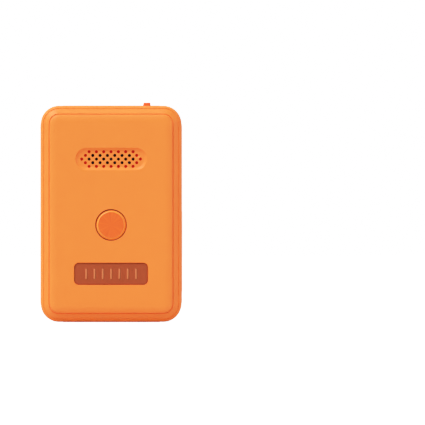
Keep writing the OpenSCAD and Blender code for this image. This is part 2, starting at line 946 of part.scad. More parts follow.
function cell_z(i) = bay_z + (i - (cell_count - 1) / 2) * cell_pitch;
function cell_way(i) = i % 2 == 0 ? 1 : -1;
function contact_face() = bay_l / 2 - contact_t;
function cell_start() = contact_face() - cell_nub_h - cell_l;

// A cell along Y with its nub on the side that its place in the tray asks for.
module battery_cell(i) {
    translate([cell_x, 0, cell_z(i)]) rotate([-90 * cell_way(i), 0, 0]) translate([0, 0, cell_start()]) {
        cylinder(d = cell_d, h = cell_l);
        cylinder(d = cell_nub_d, h = cell_l + cell_nub_h);
    }
}

module battery_cell_1() { color("#c9c9c4") battery_cell(0); }
module battery_cell_2() { color("#c9c9c4") battery_cell(1); }
module battery_cell_3() { color("#c9c9c4") battery_cell(2); }

// Rings of six points along a narrowing helix, joined into one closed wire.
module helix_wire(r_low, r_high, height, turns, wire) {
    sides = 6;
    steps = turns * 12;
    points = [
        for (i = [0:steps]) for (s = [0:sides - 1])
            let (
                turn = 360 * turns * i / steps,
                r = r_low + (r_high - r_low) * i / steps + wire / 2 * cos(360 * s / sides)
            )
            [r * cos(turn), r * sin(turn), height * i / steps + wire / 2 * sin(360 * s / sides)]
    ];
    walls = [
        for (i = [0:steps - 1]) for (s = [0:sides - 1])
            [
                i * sides + s, i * sides + (s + 1) % sides,
                (i + 1) * sides + (s + 1) % sides, (i + 1) * sides + s
            ]
    ];
    ends = [[for (s = [sides - 1:-1:0]) s], [for (s = [0:sides - 1]) steps * sides + s]];
    polyhedron(points, concat(walls, ends), convexity = 10);
}

module contact_springs() {
    color("#c9ccd0") for (i = [0:cell_count - 1]) {
        translate([cell_x, 0, cell_z(i)]) rotate([-90 * cell_way(i), 0, 0])
            translate([0, 0, -contact_face() + spring_wire / 2])
                helix_wire(spring_r, spring_r * 0.6, spring_length(), spring_turns, spring_wire);
    }
}

function spring_length() = contact_face() + cell_start() - spring_wire;

module contact_plates() {
    color("#c9ccd0") for (end = [-1, 1]) {
        for (i = [0:cell_count - 1]) {
            centred_box(
                [contact_w, contact_t, contact_w],
                [cell_x, end * (bay_l / 2 - contact_t / 2), cell_z(i)]
            );
        }
    }
}

module battery_door() {
    color(shell_orange) difference() {
        union() {
            translate([0, (door_front + hinge_y) / 2, bay_z]) face_right()
                plain_plate(hinge_y - door_front, door_h, door_r, half_w - door_t, half_w);
            translate([hinge_x, hinge_y, bay_z - door_h / 2]) cylinder(r = knuckle_r, h = door_h);
        }
        translate([hinge_x, hinge_y, bay_z - door_h])
            cylinder(r = hinge_pin_r + running_gap, h = 2 * door_h);
        translate([half_w + 1, lock_y, bay_z]) rotate([0, -90, 0]) {
            cylinder(r = lock_shank_r + running_gap, h = door_t + 2);
            cylinder(r = lock_head_r + fit_gap, h = lock_head_t + 1);
        }
        seal_ring(half_w - door_t - 1, half_w - door_t + seal_groove);
    }
}

// The band that seals the door all round the battery bay.
module seal_ring(low, high) {
    translate([0, 0, bay_z]) face_right() difference() {
        inner_w = bay_l + 2 * seal_play;
        inner_h = bay_h + 2 * seal_play;
        plain_plate(inner_w + 2 * seal_band, inner_h + 2 * seal_band, seal_r, low, high);
        plain_plate(inner_w, inner_h, 2 * seal_play, low - 1, high + 1);
    }
}

module door_seal() {
    color("#222222") seal_ring(half_w - door_t - seam + seal_floor, half_w - door_t + seal_groove);
}

module door_hinge_pin() {
    color("#b9bcc0") translate([hinge_x, hinge_y, bay_z - hinge_pin_l / 2])
        cylinder(r = hinge_pin_r, h = hinge_pin_l);
}

module door_lock_screw() {
    color("#9a9da1") translate([half_w, lock_y, bay_z]) rotate([0, -90, 0]) difference() {
        union() {
            cylinder(r = lock_head_r, h = lock_head_t);
            cylinder(r = lock_shank_r, h = lock_shank_l);
        }
        centred_box([lock_slot_l, lock_slot_w, 2 * lock_slot_depth], [0, 0, 0]);
    }
}

module rear_screws() {
    color("#9a9da1") for (spot = rear_screw_spots()) {
        translate([spot[0], half_d - seam, spot[1]]) rotate([90, 0, 0]) difference() {
            union() {
                cylinder(r = rear_head_r, h = rear_head_t);
                cylinder(r = rear_screw_r - running_gap, h = rear_screw_l);
            }
            translate([0, 0, -eps]) cylinder(r = socket_r, h = socket_depth, $fn = 6);
        }
    }
}

body_frame();
front_cover();
rear_cover();
front_gasket();
rear_gasket();
left_side_panel();
right_side_panel();
top_grip_pad();
bottom_grip_pad();
nameplate();
main_button();
button_seal();
tact_switch();
tact_plunger();
speaker_mesh();
speaker_gasket();
speaker_frame();
speaker_cone();
speaker_magnet();
slide_switch_cap();
slide_switch_slider();
slide_switch_body();
switch_board();
display_bezel();
display_lens();
display_gasket();
lcd_panel();
lcd_segment_block();
lcd_holder();
display_board();
flex_cable();
main_board();
board_components();
shield_can();
board_screws();
antenna_long_core();
antenna_long_winding();
antenna_cross_core();
antenna_cross_winding();
antenna_short_core();
antenna_short_winding();
antenna_carrier();
battery_tray();
battery_cell_1();
battery_cell_2();
battery_cell_3();
contact_springs();
contact_plates();
battery_door();
door_seal();
door_hinge_pin();
door_lock_screw();
rear_screws();
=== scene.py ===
import math
from functools import cache

import bmesh
import bpy
from mathutils import Matrix, Vector


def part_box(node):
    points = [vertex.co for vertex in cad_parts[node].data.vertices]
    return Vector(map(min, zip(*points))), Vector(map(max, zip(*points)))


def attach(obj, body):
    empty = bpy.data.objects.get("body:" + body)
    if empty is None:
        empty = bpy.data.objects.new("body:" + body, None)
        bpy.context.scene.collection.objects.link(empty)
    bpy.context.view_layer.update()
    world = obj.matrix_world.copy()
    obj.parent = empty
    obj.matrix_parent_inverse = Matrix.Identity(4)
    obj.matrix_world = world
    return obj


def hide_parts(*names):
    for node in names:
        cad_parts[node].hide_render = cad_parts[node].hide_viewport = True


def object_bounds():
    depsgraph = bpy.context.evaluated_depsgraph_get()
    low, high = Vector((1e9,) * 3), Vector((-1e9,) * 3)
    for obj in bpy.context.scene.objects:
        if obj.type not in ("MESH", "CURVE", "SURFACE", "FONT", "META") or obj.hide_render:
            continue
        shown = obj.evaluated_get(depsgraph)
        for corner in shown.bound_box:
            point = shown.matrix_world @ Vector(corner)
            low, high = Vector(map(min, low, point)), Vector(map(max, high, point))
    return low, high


bl_info = {
    "name": "Avalanche Transceiver Builder",
    "version": (1, 0, 0),
    "blender": (4, 5, 0),
    "location": "View3D > Sidebar > Transceiver",
    "description": "Builds the looks of an avalanche transceiver around its packed frame",
    "category": "Object",
}

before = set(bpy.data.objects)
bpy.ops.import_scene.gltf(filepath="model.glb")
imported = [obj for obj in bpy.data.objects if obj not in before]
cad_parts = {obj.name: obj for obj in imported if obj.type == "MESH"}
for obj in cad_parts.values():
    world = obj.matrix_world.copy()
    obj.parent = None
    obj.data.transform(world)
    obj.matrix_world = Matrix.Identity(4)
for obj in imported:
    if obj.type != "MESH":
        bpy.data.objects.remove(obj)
CAD_BOX = [list(corner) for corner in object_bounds()]
HALF_WIDTH, HALF_DEPTH = CAD_BOX[1][:2]

MM = 0.001
CORNER_STEPS = 14
EDGE_STEPS = 12
LIP_STEPS = 6
QUARTER = math.pi / 2
SMOOTH_ANGLE = math.radians(38)
ROUND_ANGLE = math.radians(45)
COVER_TURN = math.radians(66)
SIDEBAR = "Transceiver"

PANEL_ROUND = 4.5 * MM
PAD_ROUND = 2.5 * MM
BOARD_POST_HEAD = 2 * MM
SCREW_HEAD = 2.4 * MM
COIL_PITCH = 2.08  # wire radii from one turn of a coil to the next

# Each face of the housing as the directions of a piece's own right, up and outward axes.
FACES = {
    "front": ((1, 0, 0), (0, 0, 1), (0, -1, 0)),
    "rear": ((-1, 0, 0), (0, 0, 1), (0, 1, 0)),
    "left": ((0, -1, 0), (0, 0, 1), (-1, 0, 0)),
    "right": ((0, 1, 0), (0, 0, 1), (1, 0, 0)),
    "top": ((1, 0, 0), (0, 1, 0), (0, 0, 1)),
    "bottom": ((1, 0, 0), (0, -1, 0), (0, 0, -1)),
}


# ---------------------------------------------------------------- settings


def number(name, default, description, **more):
    return bpy.props.FloatProperty(name=name, default=default, description=description, **more)


def length(name, default, description):
    """A length whose default is given in millimetres."""
    return number(name, default * MM, description, unit="LENGTH", subtype="DISTANCE", precision=5)


def colour(name, default, description):
    return bpy.props.FloatVectorProperty(
        name=name, default=default, description=description, subtype="COLOR", size=3, min=0, max=1
    )


def direction(name, default, description):
    return bpy.props.FloatVectorProperty(
        name=name, default=default, description=description, subtype="DIRECTION"
    )


def tally(name, default, description):
    return bpy.props.IntProperty(name=name, default=default, min=1, description=description)


class HousingSettings(bpy.types.PropertyGroup):
    orange: colour("Shell colour", (0.93, 0.262, 0.046), "Colour of the moulded shell")
    corner_radius: length("Corner radius", 9.5, "Corner radius of the housing, seen from the front")
    shoulder_depth: length("Shoulder depth", 6, "How far the outer round reaches back")
    strip_depth: length("Strip depth", 3.8, "Depth at which the shoulder's sloping strip begins")
    strip_inset: length("Strip inset", 1.25, "Inset at which the shoulder's sloping strip begins")
    rim_depth: length("Rim depth", 1.7, "Depth of the shoulder's inner rim")
    parting_depth: length("Parting depth", 2.4, "Depth of the groove between shoulder and cover")
    line_width: length("Line width", 0.5, "Width of the fine line before the strip")
    line_depth: length("Line depth", 0.1, "Depth of the fine line before the strip")
    parting_inset: length("Parting inset", 4.2, "Inset of the groove between shoulder and cover")
    groove_depth: length("Groove depth", 0.2, "Depth of the parting grooves below the covers' seats")
    wall: length("Wall", 3, "Wall thickness of the housing")
    cover_round: length("Cover round", 0.95, "Radius of the round on the cover's edge")
    cover_drop: length("Cover drop", 0.68, "How far the cover falls from its flat face to the round")
    cover_fade: length("Cover fade", 4, "How far the cover's soft fade reaches inwards")


class FrontSettings(bpy.types.PropertyGroup):
    grille_width: length("Grille width", 37.6, "Length of the grille recess")
    grille_height: length("Grille height", 11.7, "Height of the grille recess")
    grille_recess: length("Grille recess", 1.1, "Depth of the grille recess")
    hole_diameter: length("Hole diameter", 1.7, "Diameter of one grille hole")
    hole_pitch: length("Hole pitch", 3.88, "Spacing of the holes along a row")
    row_pitch: length("Row pitch", 1.93, "Spacing of the grille's rows")
    # Painted shade colour for the walls of the grille's outer holes.
    hole_shade_red: colour("Hole red", (0.55, 0.002, 0.001), "Colour inside the grille's outer holes")
    button_hole: length("Button hole", 16.7, "Diameter of the hole around the button")
    button_orange: colour("Button colour", (0.88, 0.15, 0.022), "Colour of the button's spun face")
    # Painted highlight colour on the button's chamfer.
    button_rim_highlight: colour("Button rim", (1.0, 0.36, 0.06), "Colour of the button's chamfer")
    # Painted shade colour on the button's skirt, down in the gap round it.
    button_gap_shade: colour("Button gap", (0.28, 0.05, 0.015), "Colour of the ledge in the gap round the button")
    plate_brown: colour("Nameplate colour", (0.40, 0.075, 0.024), "Colour of the nameplate")
    # Painted highlight colour for the tops of the nameplate's raised bars.
    bar_highlight_tan: colour("Bar colour", (0.6, 0.2, 0.075), "Colour of the nameplate's raised bars")
    bar_count: tally("Bars", 7, "Bars on the nameplate")
    bar_pitch: length("Bar pitch", 4.4, "Spacing of the nameplate's bars")


class DisplaySettings(bpy.types.PropertyGroup):
    bezel_salmon: colour("Bezel colour", (0.80, 0.27, 0.14), "Colour of the translucent bezel")
    # Paler colour painted on the bezel's thin outer rim as light through it and highlight on it.
    rim_pale_highlight: colour("Rim colour", (0.86, 0.44, 0.31), "Colour of the bezel's thin outer rim")
    screen_green: colour("Screen colour", (0.072, 0.14, 0.08), "Colour of the display")
    block_grey: colour("Block colour", (0.05, 0.05, 0.05), "Colour of the dark display block")
    window_width: length("Window width", 20.6, "Width of the bezel's window")


class SwitchSettings(bpy.types.PropertyGroup):
    slider_red: colour("Slider colour", (0.85, 0.125, 0.02), "Colour of the sliding switch")
    rib_count: tally("Ribs", 13, "Full ribs on each grip pad")
    rib_pitch: length("Rib pitch", 3.11, "Spacing of the ribs")


class StageSettings(bpy.types.PropertyGroup):
    view_width: length("View width", 225, "Width of the picture at the object")
    aside: length("Aside", 53.7, "How far the view's middle lies to the object's right")
    view_rise: length("View rise", 58.2, "Height of the view's middle")
    lens: number("Lens", 1500, "Focal length in millimetres")
    key_power: number("Key light", 3.55, "Strength of the key light")
    key_softness: number("Key softness", math.radians(34), "Width of the key light", subtype="ANGLE")
    key_from: direction("Key from", (-0.47, -0.46, 0.75), "Where the key light stands")
    fill_power: number("Fill light", 1.25, "Strength of the fill light")
    fill_from: direction("Fill from", (0.85, -0.4, -0.1), "Where the fill light stands")
    sky_tint: colour("Sky tint", (1.0, 0.88, 0.82), "Colour of the surroundings' light")
    sky_front: number("Front sky", 0.16, "Brightness in front of the object")
    sky_back: number("Back sky", 0.98, "Brightness behind the object")
    backdrop: number("Backdrop", 1.5, "Brightness of the seen backdrop")
    floor_grey: number("Floor", 0.62, "How much light the floor returns")
    floor_glow: number("Floor glow", 1.85, "The floor's evenly lit share")


SETTINGS = {
    "housing_look": HousingSettings,
    "front_look": FrontSettings,
    "display_look": DisplaySettings,
    "switch_look": SwitchSettings,
    "stage_look": StageSettings,
}


def look(group):
    return getattr(bpy.context.scene, group + "_look")


# ---------------------------------------------------------------- places in the frame


def corners(node):
    return [Vector(corner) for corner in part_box(node)]


def middle(node):
    low, high = corners(node)
    return (low + high) / 2


def extent(node):
    low, high = corners(node)
    return high - low


def corner_spots(node, head):
    """The (x, z) places that lie a head's radius in from the corners of a node's box."""
    low, high = corners(node)
    return [(x, z) for x in (low.x + head, high.x - head) for z in (low.z + head, high.z - head)]


def placed(face, centre=(0, 0, 0)):
    """The place of a shape that lies on a face, with its own outward axis through the centre."""
    return Matrix.Translation(Vector(centre)) @ Matrix(FACES[face]).transposed().to_4x4()


def mm(*points, out=0, up=0):
    """Profile points given in millimetres, set off by two lengths."""
    return [(out + a * MM, up + b * MM) for a, b in points]


# ---------------------------------------------------------------- meshes


def rounded_outline(width, height, radius, steps=CORNER_STEPS):
    """The points of a rounded rectangle, counter-clockwise."""
    radius = max(min(radius, width / 2 - 1e-6, height / 2 - 1e-6), 0.02 * MM)
    points = []
    for quarter, (sx, sy) in enumerate(((1, 1), (-1, 1), (-1, -1), (1, -1))):
        cx, cy = sx * (width / 2 - radius), sy * (height / 2 - radius)
        for i in range(steps + 1):
            a = math.radians(90 * quarter + 90 * i / steps)
            points.append((cx + radius * math.cos(a), cy + radius * math.sin(a)))
    return points


def circle_outline(radius, steps):
    angles = [2 * math.pi * i / steps for i in range(steps)]
    return [(radius * math.cos(a), radius * math.sin(a)) for a in angles]


def skin(bm, outlines, place, closed=False):
    """Joins (outline, level) rings into one closed skin; a closed one runs back to its first ring."""
    made = [[bm.verts.new(place @ Vector((x, y, level))) for x, y in ring] for ring, level in outlines]
    count = len(made[0])
    pairs = list(zip(made, made[1:]))
    if closed:
        pairs.append((made[-1], made[0]))
    for low, high in pairs:
        for i in range(count):
            j = (i + 1) % count
            bm.faces.new((low[i], low[j], high[j], high[i]))
    if not closed:
        bm.faces.new(made[-1])
        bm.faces.new(list(reversed(made[0])))


def add_moulded(bm, width, height, radius, profile, place, closed=False):
    """Adds a rounded plate whose edge follows (inset, height) points from its underside to its top."""
    rings = [
        (rounded_outline(width - 2 * inset, height - 2 * inset, radius - inset), level)
        for inset, level in profile
    ]
    skin(bm, rings, place, closed)


def smooth_mesh(mesh):
    mesh.shade_smooth()
    mesh.set_sharp_from_angle(angle=SMOOTH_ANGLE)


def linked(name, data):
    made = bpy.data.objects.new(name, data)
    bpy.context.scene.collection.objects.link(made)
    return made


def piece(name, bm):
    """Turns a bmesh into an object at the origin with smooth shading between shallow edges."""
    bmesh.ops.recalc_face_normals(bm, faces=bm.faces)
    mesh = bpy.data.meshes.new(name)
    bm.to_mesh(mesh)
    bm.free()
    smooth_mesh(mesh)
    return linked(name, mesh)


def moulded(name, width, height, radius, profile, place, closed=False):
    bm = bmesh.new()
    add_moulded(bm, width, height, radius, profile, place, closed)
    return piece(name, bm)


def turned(name, profile, place, steps=64, closed=False):
    """A turned solid whose side follows (radius, height) points from its underside to its top."""
    bm = bmesh.new()
    skin(bm, [(circle_outline(radius, steps), level) for radius, level in profile], place, closed)
    return piece(name, bm)


def bake_modifiers(made):
    """Turns an object's modifiers into its plain mesh."""
    bpy.context.view_layer.update()
    graph = bpy.context.evaluated_depsgraph_get()
    mesh = bpy.data.meshes.new_from_object(made.evaluated_get(graph))
    old = made.data
    made.modifiers.clear()
    made.data = mesh
    bpy.data.meshes.remove(old)


def carve(made, *cutters):
    """Cuts the closed cutters out of a piece and keeps its broad faces flat in the shading."""
    for cutter in cutters:
        cut = made.modifiers.new("cut", "BOOLEAN")
        cut.operation = "DIFFERENCE"
        cut.solver = "EXACT"
        cut.object = cutter
    bake_modifiers(made)
    for cutter in cutters:
        bpy.data.objects.remove(cutter)
    smooth_mesh(made.data)
    weigh = made.modifiers.new("weigh", "WEIGHTED_NORMAL")
    weigh.keep_sharp = True
    bake_modifiers(made)


def joined(name, *parts):
    """Joins plain mesh objects into a new one."""
    bm = bmesh.new()
    for part in parts:
        bm.from_mesh(part.data)
        bpy.data.objects.remove(part)
    mesh = bpy.data.meshes.new(name)
    bm.to_mesh(mesh)
    bm.free()
    smooth_mesh(mesh)
    return linked(name, mesh)


def settle(made, body, slot, *nodes, coat=None):
    """Gives a piece its finish in its one material slot, puts it on its body and hides the frame nodes it
    stands for.
    """
    made.data.materials.clear()
    made.data.materials.append(finish(coat or slot))
    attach(made, body)
    if nodes:
        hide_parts(*nodes)


def dress(**nodes):
    """Gives carried-over frame nodes their finishes: each slot with its nodes, set apart by spaces."""
    for slot, names in nodes.items():
        for name in names.split():
            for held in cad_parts[name].material_slots:
                held.material = finish(slot)


# ---------------------------------------------------------------- nodes


class Nodes:
    """Short calls for the nodes that trees and patterns need."""

    def __init__(self, tree):
        self.tree = tree

    def put(self, socket, value):
        """Feeds a socket from another one, or sets its value."""
        if isinstance(value, bpy.types.NodeSocket):
            self.tree.links.new(value, socket)
        elif value is not None:
            socket.default_value = value

    def node(self, kind, **inputs):
        made = self.tree.nodes.new(kind)
        for label, value in inputs.items():
            self.put(made.inputs[label.replace("_", " ")], value)
        return made

    def math(self, operation, first, second=None):
        made = self.tree.nodes.new("ShaderNodeMath")
        made.operation = operation
        self.put(made.inputs[0], first)
        self.put(made.inputs[1], second)
        return made.outputs[0]

    def xyz(self, vector):
        return self.node("ShaderNodeSeparateXYZ", Vector=vector).outputs

    def ranged(self, value, low, high, from_low=0.0, from_high=1.0, way="LINEAR"):
        made = self.tree.nodes.new("ShaderNodeMapRange")
        made.interpolation_type = way
        for socket, given in zip(made.inputs, (value, from_low, from_high, low, high)):
            self.put(socket, given)
        return made.outputs[0]

    def blend(self, amount, first, second):
        """A colour between two colours, each fixed or from a node."""
        made = self.tree.nodes.new("ShaderNodeMix")
        made.data_type = "RGBA"
        self.put(made.inputs[0], amount)
        for socket, value in ((made.inputs[6], first), (made.inputs[7], second)):
            self.put(socket, value if isinstance(value, bpy.types.NodeSocket) else (*value, 1))
        return made.outputs[2]


class Grower(Nodes):
    """A geometry tree with named inputs, which sets instances on points and gives them a material."""

    def __init__(self, name, **inputs):
        super().__init__(bpy.data.node_groups.new(name, "GeometryNodeTree"))
        face = self.tree.interface
        for label, kind in {"Geometry": "Geometry", **inputs, "Material": "Material"}.items():
            face.new_socket(label.replace("_", " "), in_out="INPUT", socket_type="NodeSocket" + kind)
        face.new_socket("Geometry", in_out="OUTPUT", socket_type="NodeSocketGeometry")
        self.given = self.tree.nodes.new("NodeGroupInput").outputs

    def original(self):
        return self.node("GeometryNodeObjectInfo", Object=self.given["Original"]).outputs["Geometry"]

    def spread(self, instance, points=None, **more):
        """Puts the instance on the points, realizes it, sets the material and ends the tree."""
        points = points or self.given["Geometry"]
        copies = self.node("GeometryNodeInstanceOnPoints", Points=points, Instance=instance, **more)
        real = self.node("GeometryNodeRealizeInstances", Geometry=copies.outputs["Instances"])
        done = self.node(
            "GeometryNodeSetMaterial", Geometry=real.outputs["Geometry"], Material=self.given["Material"]
        )
        self.node("NodeGroupOutput", Geometry=done.outputs["Geometry"])
        return self.tree


def copies_tree():
    """Puts a copy of one object on every point."""
    g = Grower("Copies on points", Original="Object")
    return g.spread(g.original())


def row_tree():
    """Sets copies of one object in an even row."""
    g = Grower("Rib row", Original="Object", Count="Int", First="Vector", Step="Vector")
    given = g.given
    line = g.node(
        "GeometryNodeMeshLine", Count=given["Count"], Start_Location=given["First"], Offset=given["Step"]
    )
    return g.spread(g.original(), line.outputs["Mesh"])


def perforation_tree():
    """Sets a round peg on every point, which cuts the grille's holes."""
    g = Grower("Perforation", Diameter="Float", Depth="Float", Sides="Int")
    peg = g.node(
        "GeometryNodeMeshCylinder", Radius=g.math("MULTIPLY", g.given["Diameter"], 0.5),
        Depth=g.given["Depth"], Vertices=g.given["Sides"],
    )
    lying = g.node("GeometryNodeTransform", Geometry=peg.outputs["Mesh"], Rotation=(QUARTER, 0, 0))
    return g.spread(lying.outputs["Geometry"])


def coil_tree():
    """Winds wire into a coil on every point, turned as asked."""
    g = Grower(
        "Wire coil", Turns="Float", Start_Radius="Float", End_Radius="Float", Height="Float",
        Wire_Radius="Float", Rotation="Rotation",
    )
    given = g.given
    spiral = g.node(
        "GeometryNodeCurveSpiral", Resolution=24, Rotations=given["Turns"], Height=given["Height"],
        Start_Radius=given["Start Radius"], End_Radius=given["End Radius"],
    )
    ring = g.node("GeometryNodeCurvePrimitiveCircle", Resolution=7, Radius=given["Wire Radius"])
    sweep = g.node(
        "GeometryNodeCurveToMesh", Curve=spiral.outputs["Curve"], Profile_Curve=ring.outputs["Curve"],
        Fill_Caps=True,
    )
    return g.spread(sweep.outputs["Mesh"], Rotation=given["Rotation"])


TREE_MAKERS = {"copies": copies_tree, "row": row_tree, "perforation": perforation_tree, "coil": coil_tree}


@cache
def grown_tree(name):
    return TREE_MAKERS[name]()


def grow(name, points, tree_name, slot=None, **values):
    """Runs a tree on loose points and returns its result as a plain mesh object at the origin."""
    tree = grown_tree(tree_name)
    mesh = bpy.data.meshes.new(name)
    mesh.from_pydata([tuple(p) for p in points], [], [])
    made = linked(name, mesh)
    modifier = made.modifiers.new(tree_name, "NODES")
    modifier.node_group = tree
    values["material"] = finish(slot) if slot else None
    wanted = {key.replace("_", " ").title(): value for key, value in values.items()}
    for item in tree.interface.items_tree:
        if item.in_out == "INPUT" and item.name in wanted:
            modifier[item.identifier] = wanted[item.name]
    bake_modifiers(made)
    smooth_mesh(made.data)
    return made


# ---------------------------------------------------------------- materials


class Finish(Nodes):
    """A node material with its shader ready."""

    def __init__(self, name, base, roughness, metallic=0.0, specular=0.5):
        self.material = bpy.data.materials.new(name)
        self.material.use_nodes = True
        super().__init__(self.material.node_tree)
        self.inputs = self.tree.nodes["Principled BSDF"].inputs
        self.inputs["Base Color"].default_value = (*base, 1)
        self.inputs["Roughness"].default_value = roughness
        self.inputs["Metallic"].default_value = metallic
        self.inputs["Specular IOR Level"].default_value = specular
        self.coordinates = self.tree.nodes.new("ShaderNodeTexCoord").outputs["Object"]

    def mapped(self, centre=(0, 0, 0), scale=(1, 1, 1), turn=(0, 0, 0)):
        """Object coordinates centred on a point, then turned and stretched."""
        shift = self.node("ShaderNodeMapping", Vector=self.coordinates, Location=[-c for c in centre])
        spun = self.node("ShaderNodeMapping", Vector=shift.outputs["Vector"], Rotation=turn, Scale=scale)
        return spun.outputs["Vector"]

    def noise(self, size, detail=3.0, where=None, roughness=0.5):
        """Noise whose features are about size metres across."""
        made = self.node(
            "ShaderNodeTexNoise", Vector=where or self.coordinates, Scale=1 / size, Detail=detail,
            Roughness=roughness,
        )
        return made.outputs["Fac"]

    def paint(self, amount, first, second):
        """Makes the base colour a blend of two."""
        self.put(self.inputs["Base Color"], self.blend(amount, first, second))

    def paint_over(self, amount, second):
        """Lays a second colour over what is painted so far."""
        self.paint(amount, self.inputs["Base Color"].links[0].from_socket, second)

    def rough(self, value, low, high):
        self.put(self.inputs["Roughness"], self.ranged(value, low, high))

    def bump(self, height, depth):
        """Bumps of a real depth in metres."""
        made = self.node("ShaderNodeBump", Height=height, Strength=1.0, Distance=depth)
        self.put(self.inputs["Normal"], made.outputs["Normal"])

    def coat(self, weight, roughness=None):
        self.put(self.inputs["Coat Weight"], weight)
        self.put(self.inputs["Coat Roughness"], roughness)


def shade(base, amount):
    return tuple(min(max(c * amount, 0), 1) for c in base)


def moulded_plastic(name, base, roughness=0.42, grain=0.35, grain_depth=0.006, specular=0.5):
    """Soft matte moulded plastic: fine spark-eroded grain (in millimetres), slight mottling, uneven gloss."""
    f = Finish(name, tuple(base), roughness, specular=specular)
    mottle = f.ranged(f.noise(9 * MM, 2), 0, 1, 0.3, 0.7)
    f.paint(mottle, shade(base, 0.985), shade(base, 1.012))
    f.rough(f.noise(2.5 * MM, 3), roughness - 0.04, roughness + 0.05)
    f.bump(f.noise(grain * MM, 2), grain_depth * MM)
    return f


def paint_red_glow(f):
    """Paints a faint red glow over the surface, which keeps its shaded sides saturated red."""
    f.put(f.inputs["Emission Color"], (1, 0.03, 0, 1))
    f.put(f.inputs["Emission Strength"], 0.12)
    return f


def shell_plastic(name="shell orange"):
    # The shell's plastic, with the painted red glow over it.
    return paint_red_glow(moulded_plastic(name, look("housing").orange, 0.46, specular=0.25))


def grille_plastic():
    """The shell's plastic with painted shade on the walls of the grille's holes: deep red in the outer holes,
    black in the others.
    """
    f = shell_plastic("grille orange")
    front = look("front")
    deep = -HALF_DEPTH + front.grille_recess
    below = f.ranged(f.xyz(f.coordinates)["Y"], 0, 1, deep + 0.01 * MM, deep + 0.08 * MM)
    here = f.xyz(f.mapped(middle("speaker_mesh")))
    across, along = f.math("ABSOLUTE", here["X"]), f.math("ABSOLUTE", here["Z"])
    slant = f.math("MULTIPLY", f.math("ADD", across, along), 1 / (3.5 * front.hole_pitch))
    tall = f.math("MULTIPLY", along, 1 / (1.5 * front.row_pitch))
    core = f.math("LESS_THAN", f.math("MAXIMUM", slant, tall), 1)
    near = f.math("LESS_THAN", f.math("ADD", across, f.math("MULTIPLY", along, 2.6)), 27 * MM)
    inside = f.math("MULTIPLY", below, near)
    # Painted shade on the hole walls below the recess floor: deep red in the outer ring, near black in the
    # inner holes.
    f.paint_over(inside, f.blend(core, front.hole_shade_red, (0.004, 0.002, 0.002)))
    # The painted red glow is taken out of the inner holes.
    glow = f.inputs["Emission Strength"]
    f.put(glow, f.ranged(f.math("MULTIPLY", inside, core), glow.default_value, 0))
    return f


def spun_plastic():
    """The button's face: radial streaks with painted sheen in wedges over fine turned rings, a painted
    highlight on its chamfer and painted shade in its gap.
    """
    front = look("front")
    base = tuple(front.button_orange)
    f = paint_red_glow(Finish("spun orange", base, 0.38, specular=0.3))
    flat = f.mapped(middle("main_button"), turn=(QUARTER, 0, 0))
    parts = f.xyz(flat)
    around = f.node("ShaderNodeCombineXYZ", X=f.math("ARCTAN2", parts["Y"], parts["X"]))
    streaks = f.noise(1 / 3.2, 5.0, around.outputs["Vector"], 0.62)
    # Painted sheen: the streaks' wedges are painted lighter and darker than the face's colour.
    f.paint(f.ranged(streaks, 0, 1, 0.28, 0.72), shade(base, 0.74), shade(base, 1.22))
    f.rough(streaks, 0.28, 0.42)
    squares = [f.math("MULTIPLY", parts[axis], parts[axis]) for axis in "XY"]
    radius = f.math("SQRT", f.math("ADD", *squares))
    # Painted highlight on the button's chamfer ring.
    f.paint_over(f.ranged(radius, 0, 1, 6.84 * MM, 6.92 * MM), front.button_rim_highlight)
    # Painted shade on the button's skirt down in the gap, where the red glow is also taken out.
    gap = f.ranged(radius, 0, 1, 7.82 * MM, 7.84 * MM)
    f.paint_over(gap, front.button_gap_shade)
    f.put(f.inputs["Emission Strength"], f.ranged(gap, 0.1, 0))
    rings = f.node("ShaderNodeTexWave", Vector=flat, Scale=1 / (0.55 * MM), Distortion=0.3)
    rings.wave_type = "RINGS"
    rings.rings_direction = "Z"
    f.bump(rings.outputs["Fac"], 0.004 * MM)
    return f


def plate_paint():
    """The nameplate's matte paint, with a painted highlight that makes what stands up from its field paler."""
    front = look("front")
    f = moulded_plastic("brick plate", front.plate_brown, 0.5, 0.5, 0.01, specular=0.2)
    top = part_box("nameplate")[0][1]
    # Painted highlight on what stands up from the field.
    raised = f.ranged(f.xyz(f.coordinates)["Y"], 1, 0, top + 0.03 * MM, top + 0.16 * MM)
    f.paint_over(raised, front.bar_highlight_tan)
    return f


def from_middle(f, node):
    """How far a point on a side face lies from a node's middle, along and up."""
    here = f.xyz(f.mapped(middle(node)))
    return f.math("ABSOLUTE", here["Y"]), f.math("ABSOLUTE", here["Z"])


def bezel_plastic():
    """Translucent salmon resin with a paler rim, painted to stand in for light through its thin edge and the
    highlight on its bevel.
    """
    f = moulded_plastic("salmon resin", look("display").bezel_salmon, 0.3, 0.6, 0.004)
    half = extent("display_bezel") / 2
    along, up = from_middle(f, "display_bezel")
    reach = f.math("MAXIMUM", f.math("SUBTRACT", along, half.y), f.math("SUBTRACT", up, half.z))
    # Painted light and highlight on the bezel's outer rim.
    f.paint_over(f.ranged(reach, 0, 1, -1.0 * MM, -0.35 * MM), look("display").rim_pale_highlight)
    f.coat(0.4, 0.18)
    return f


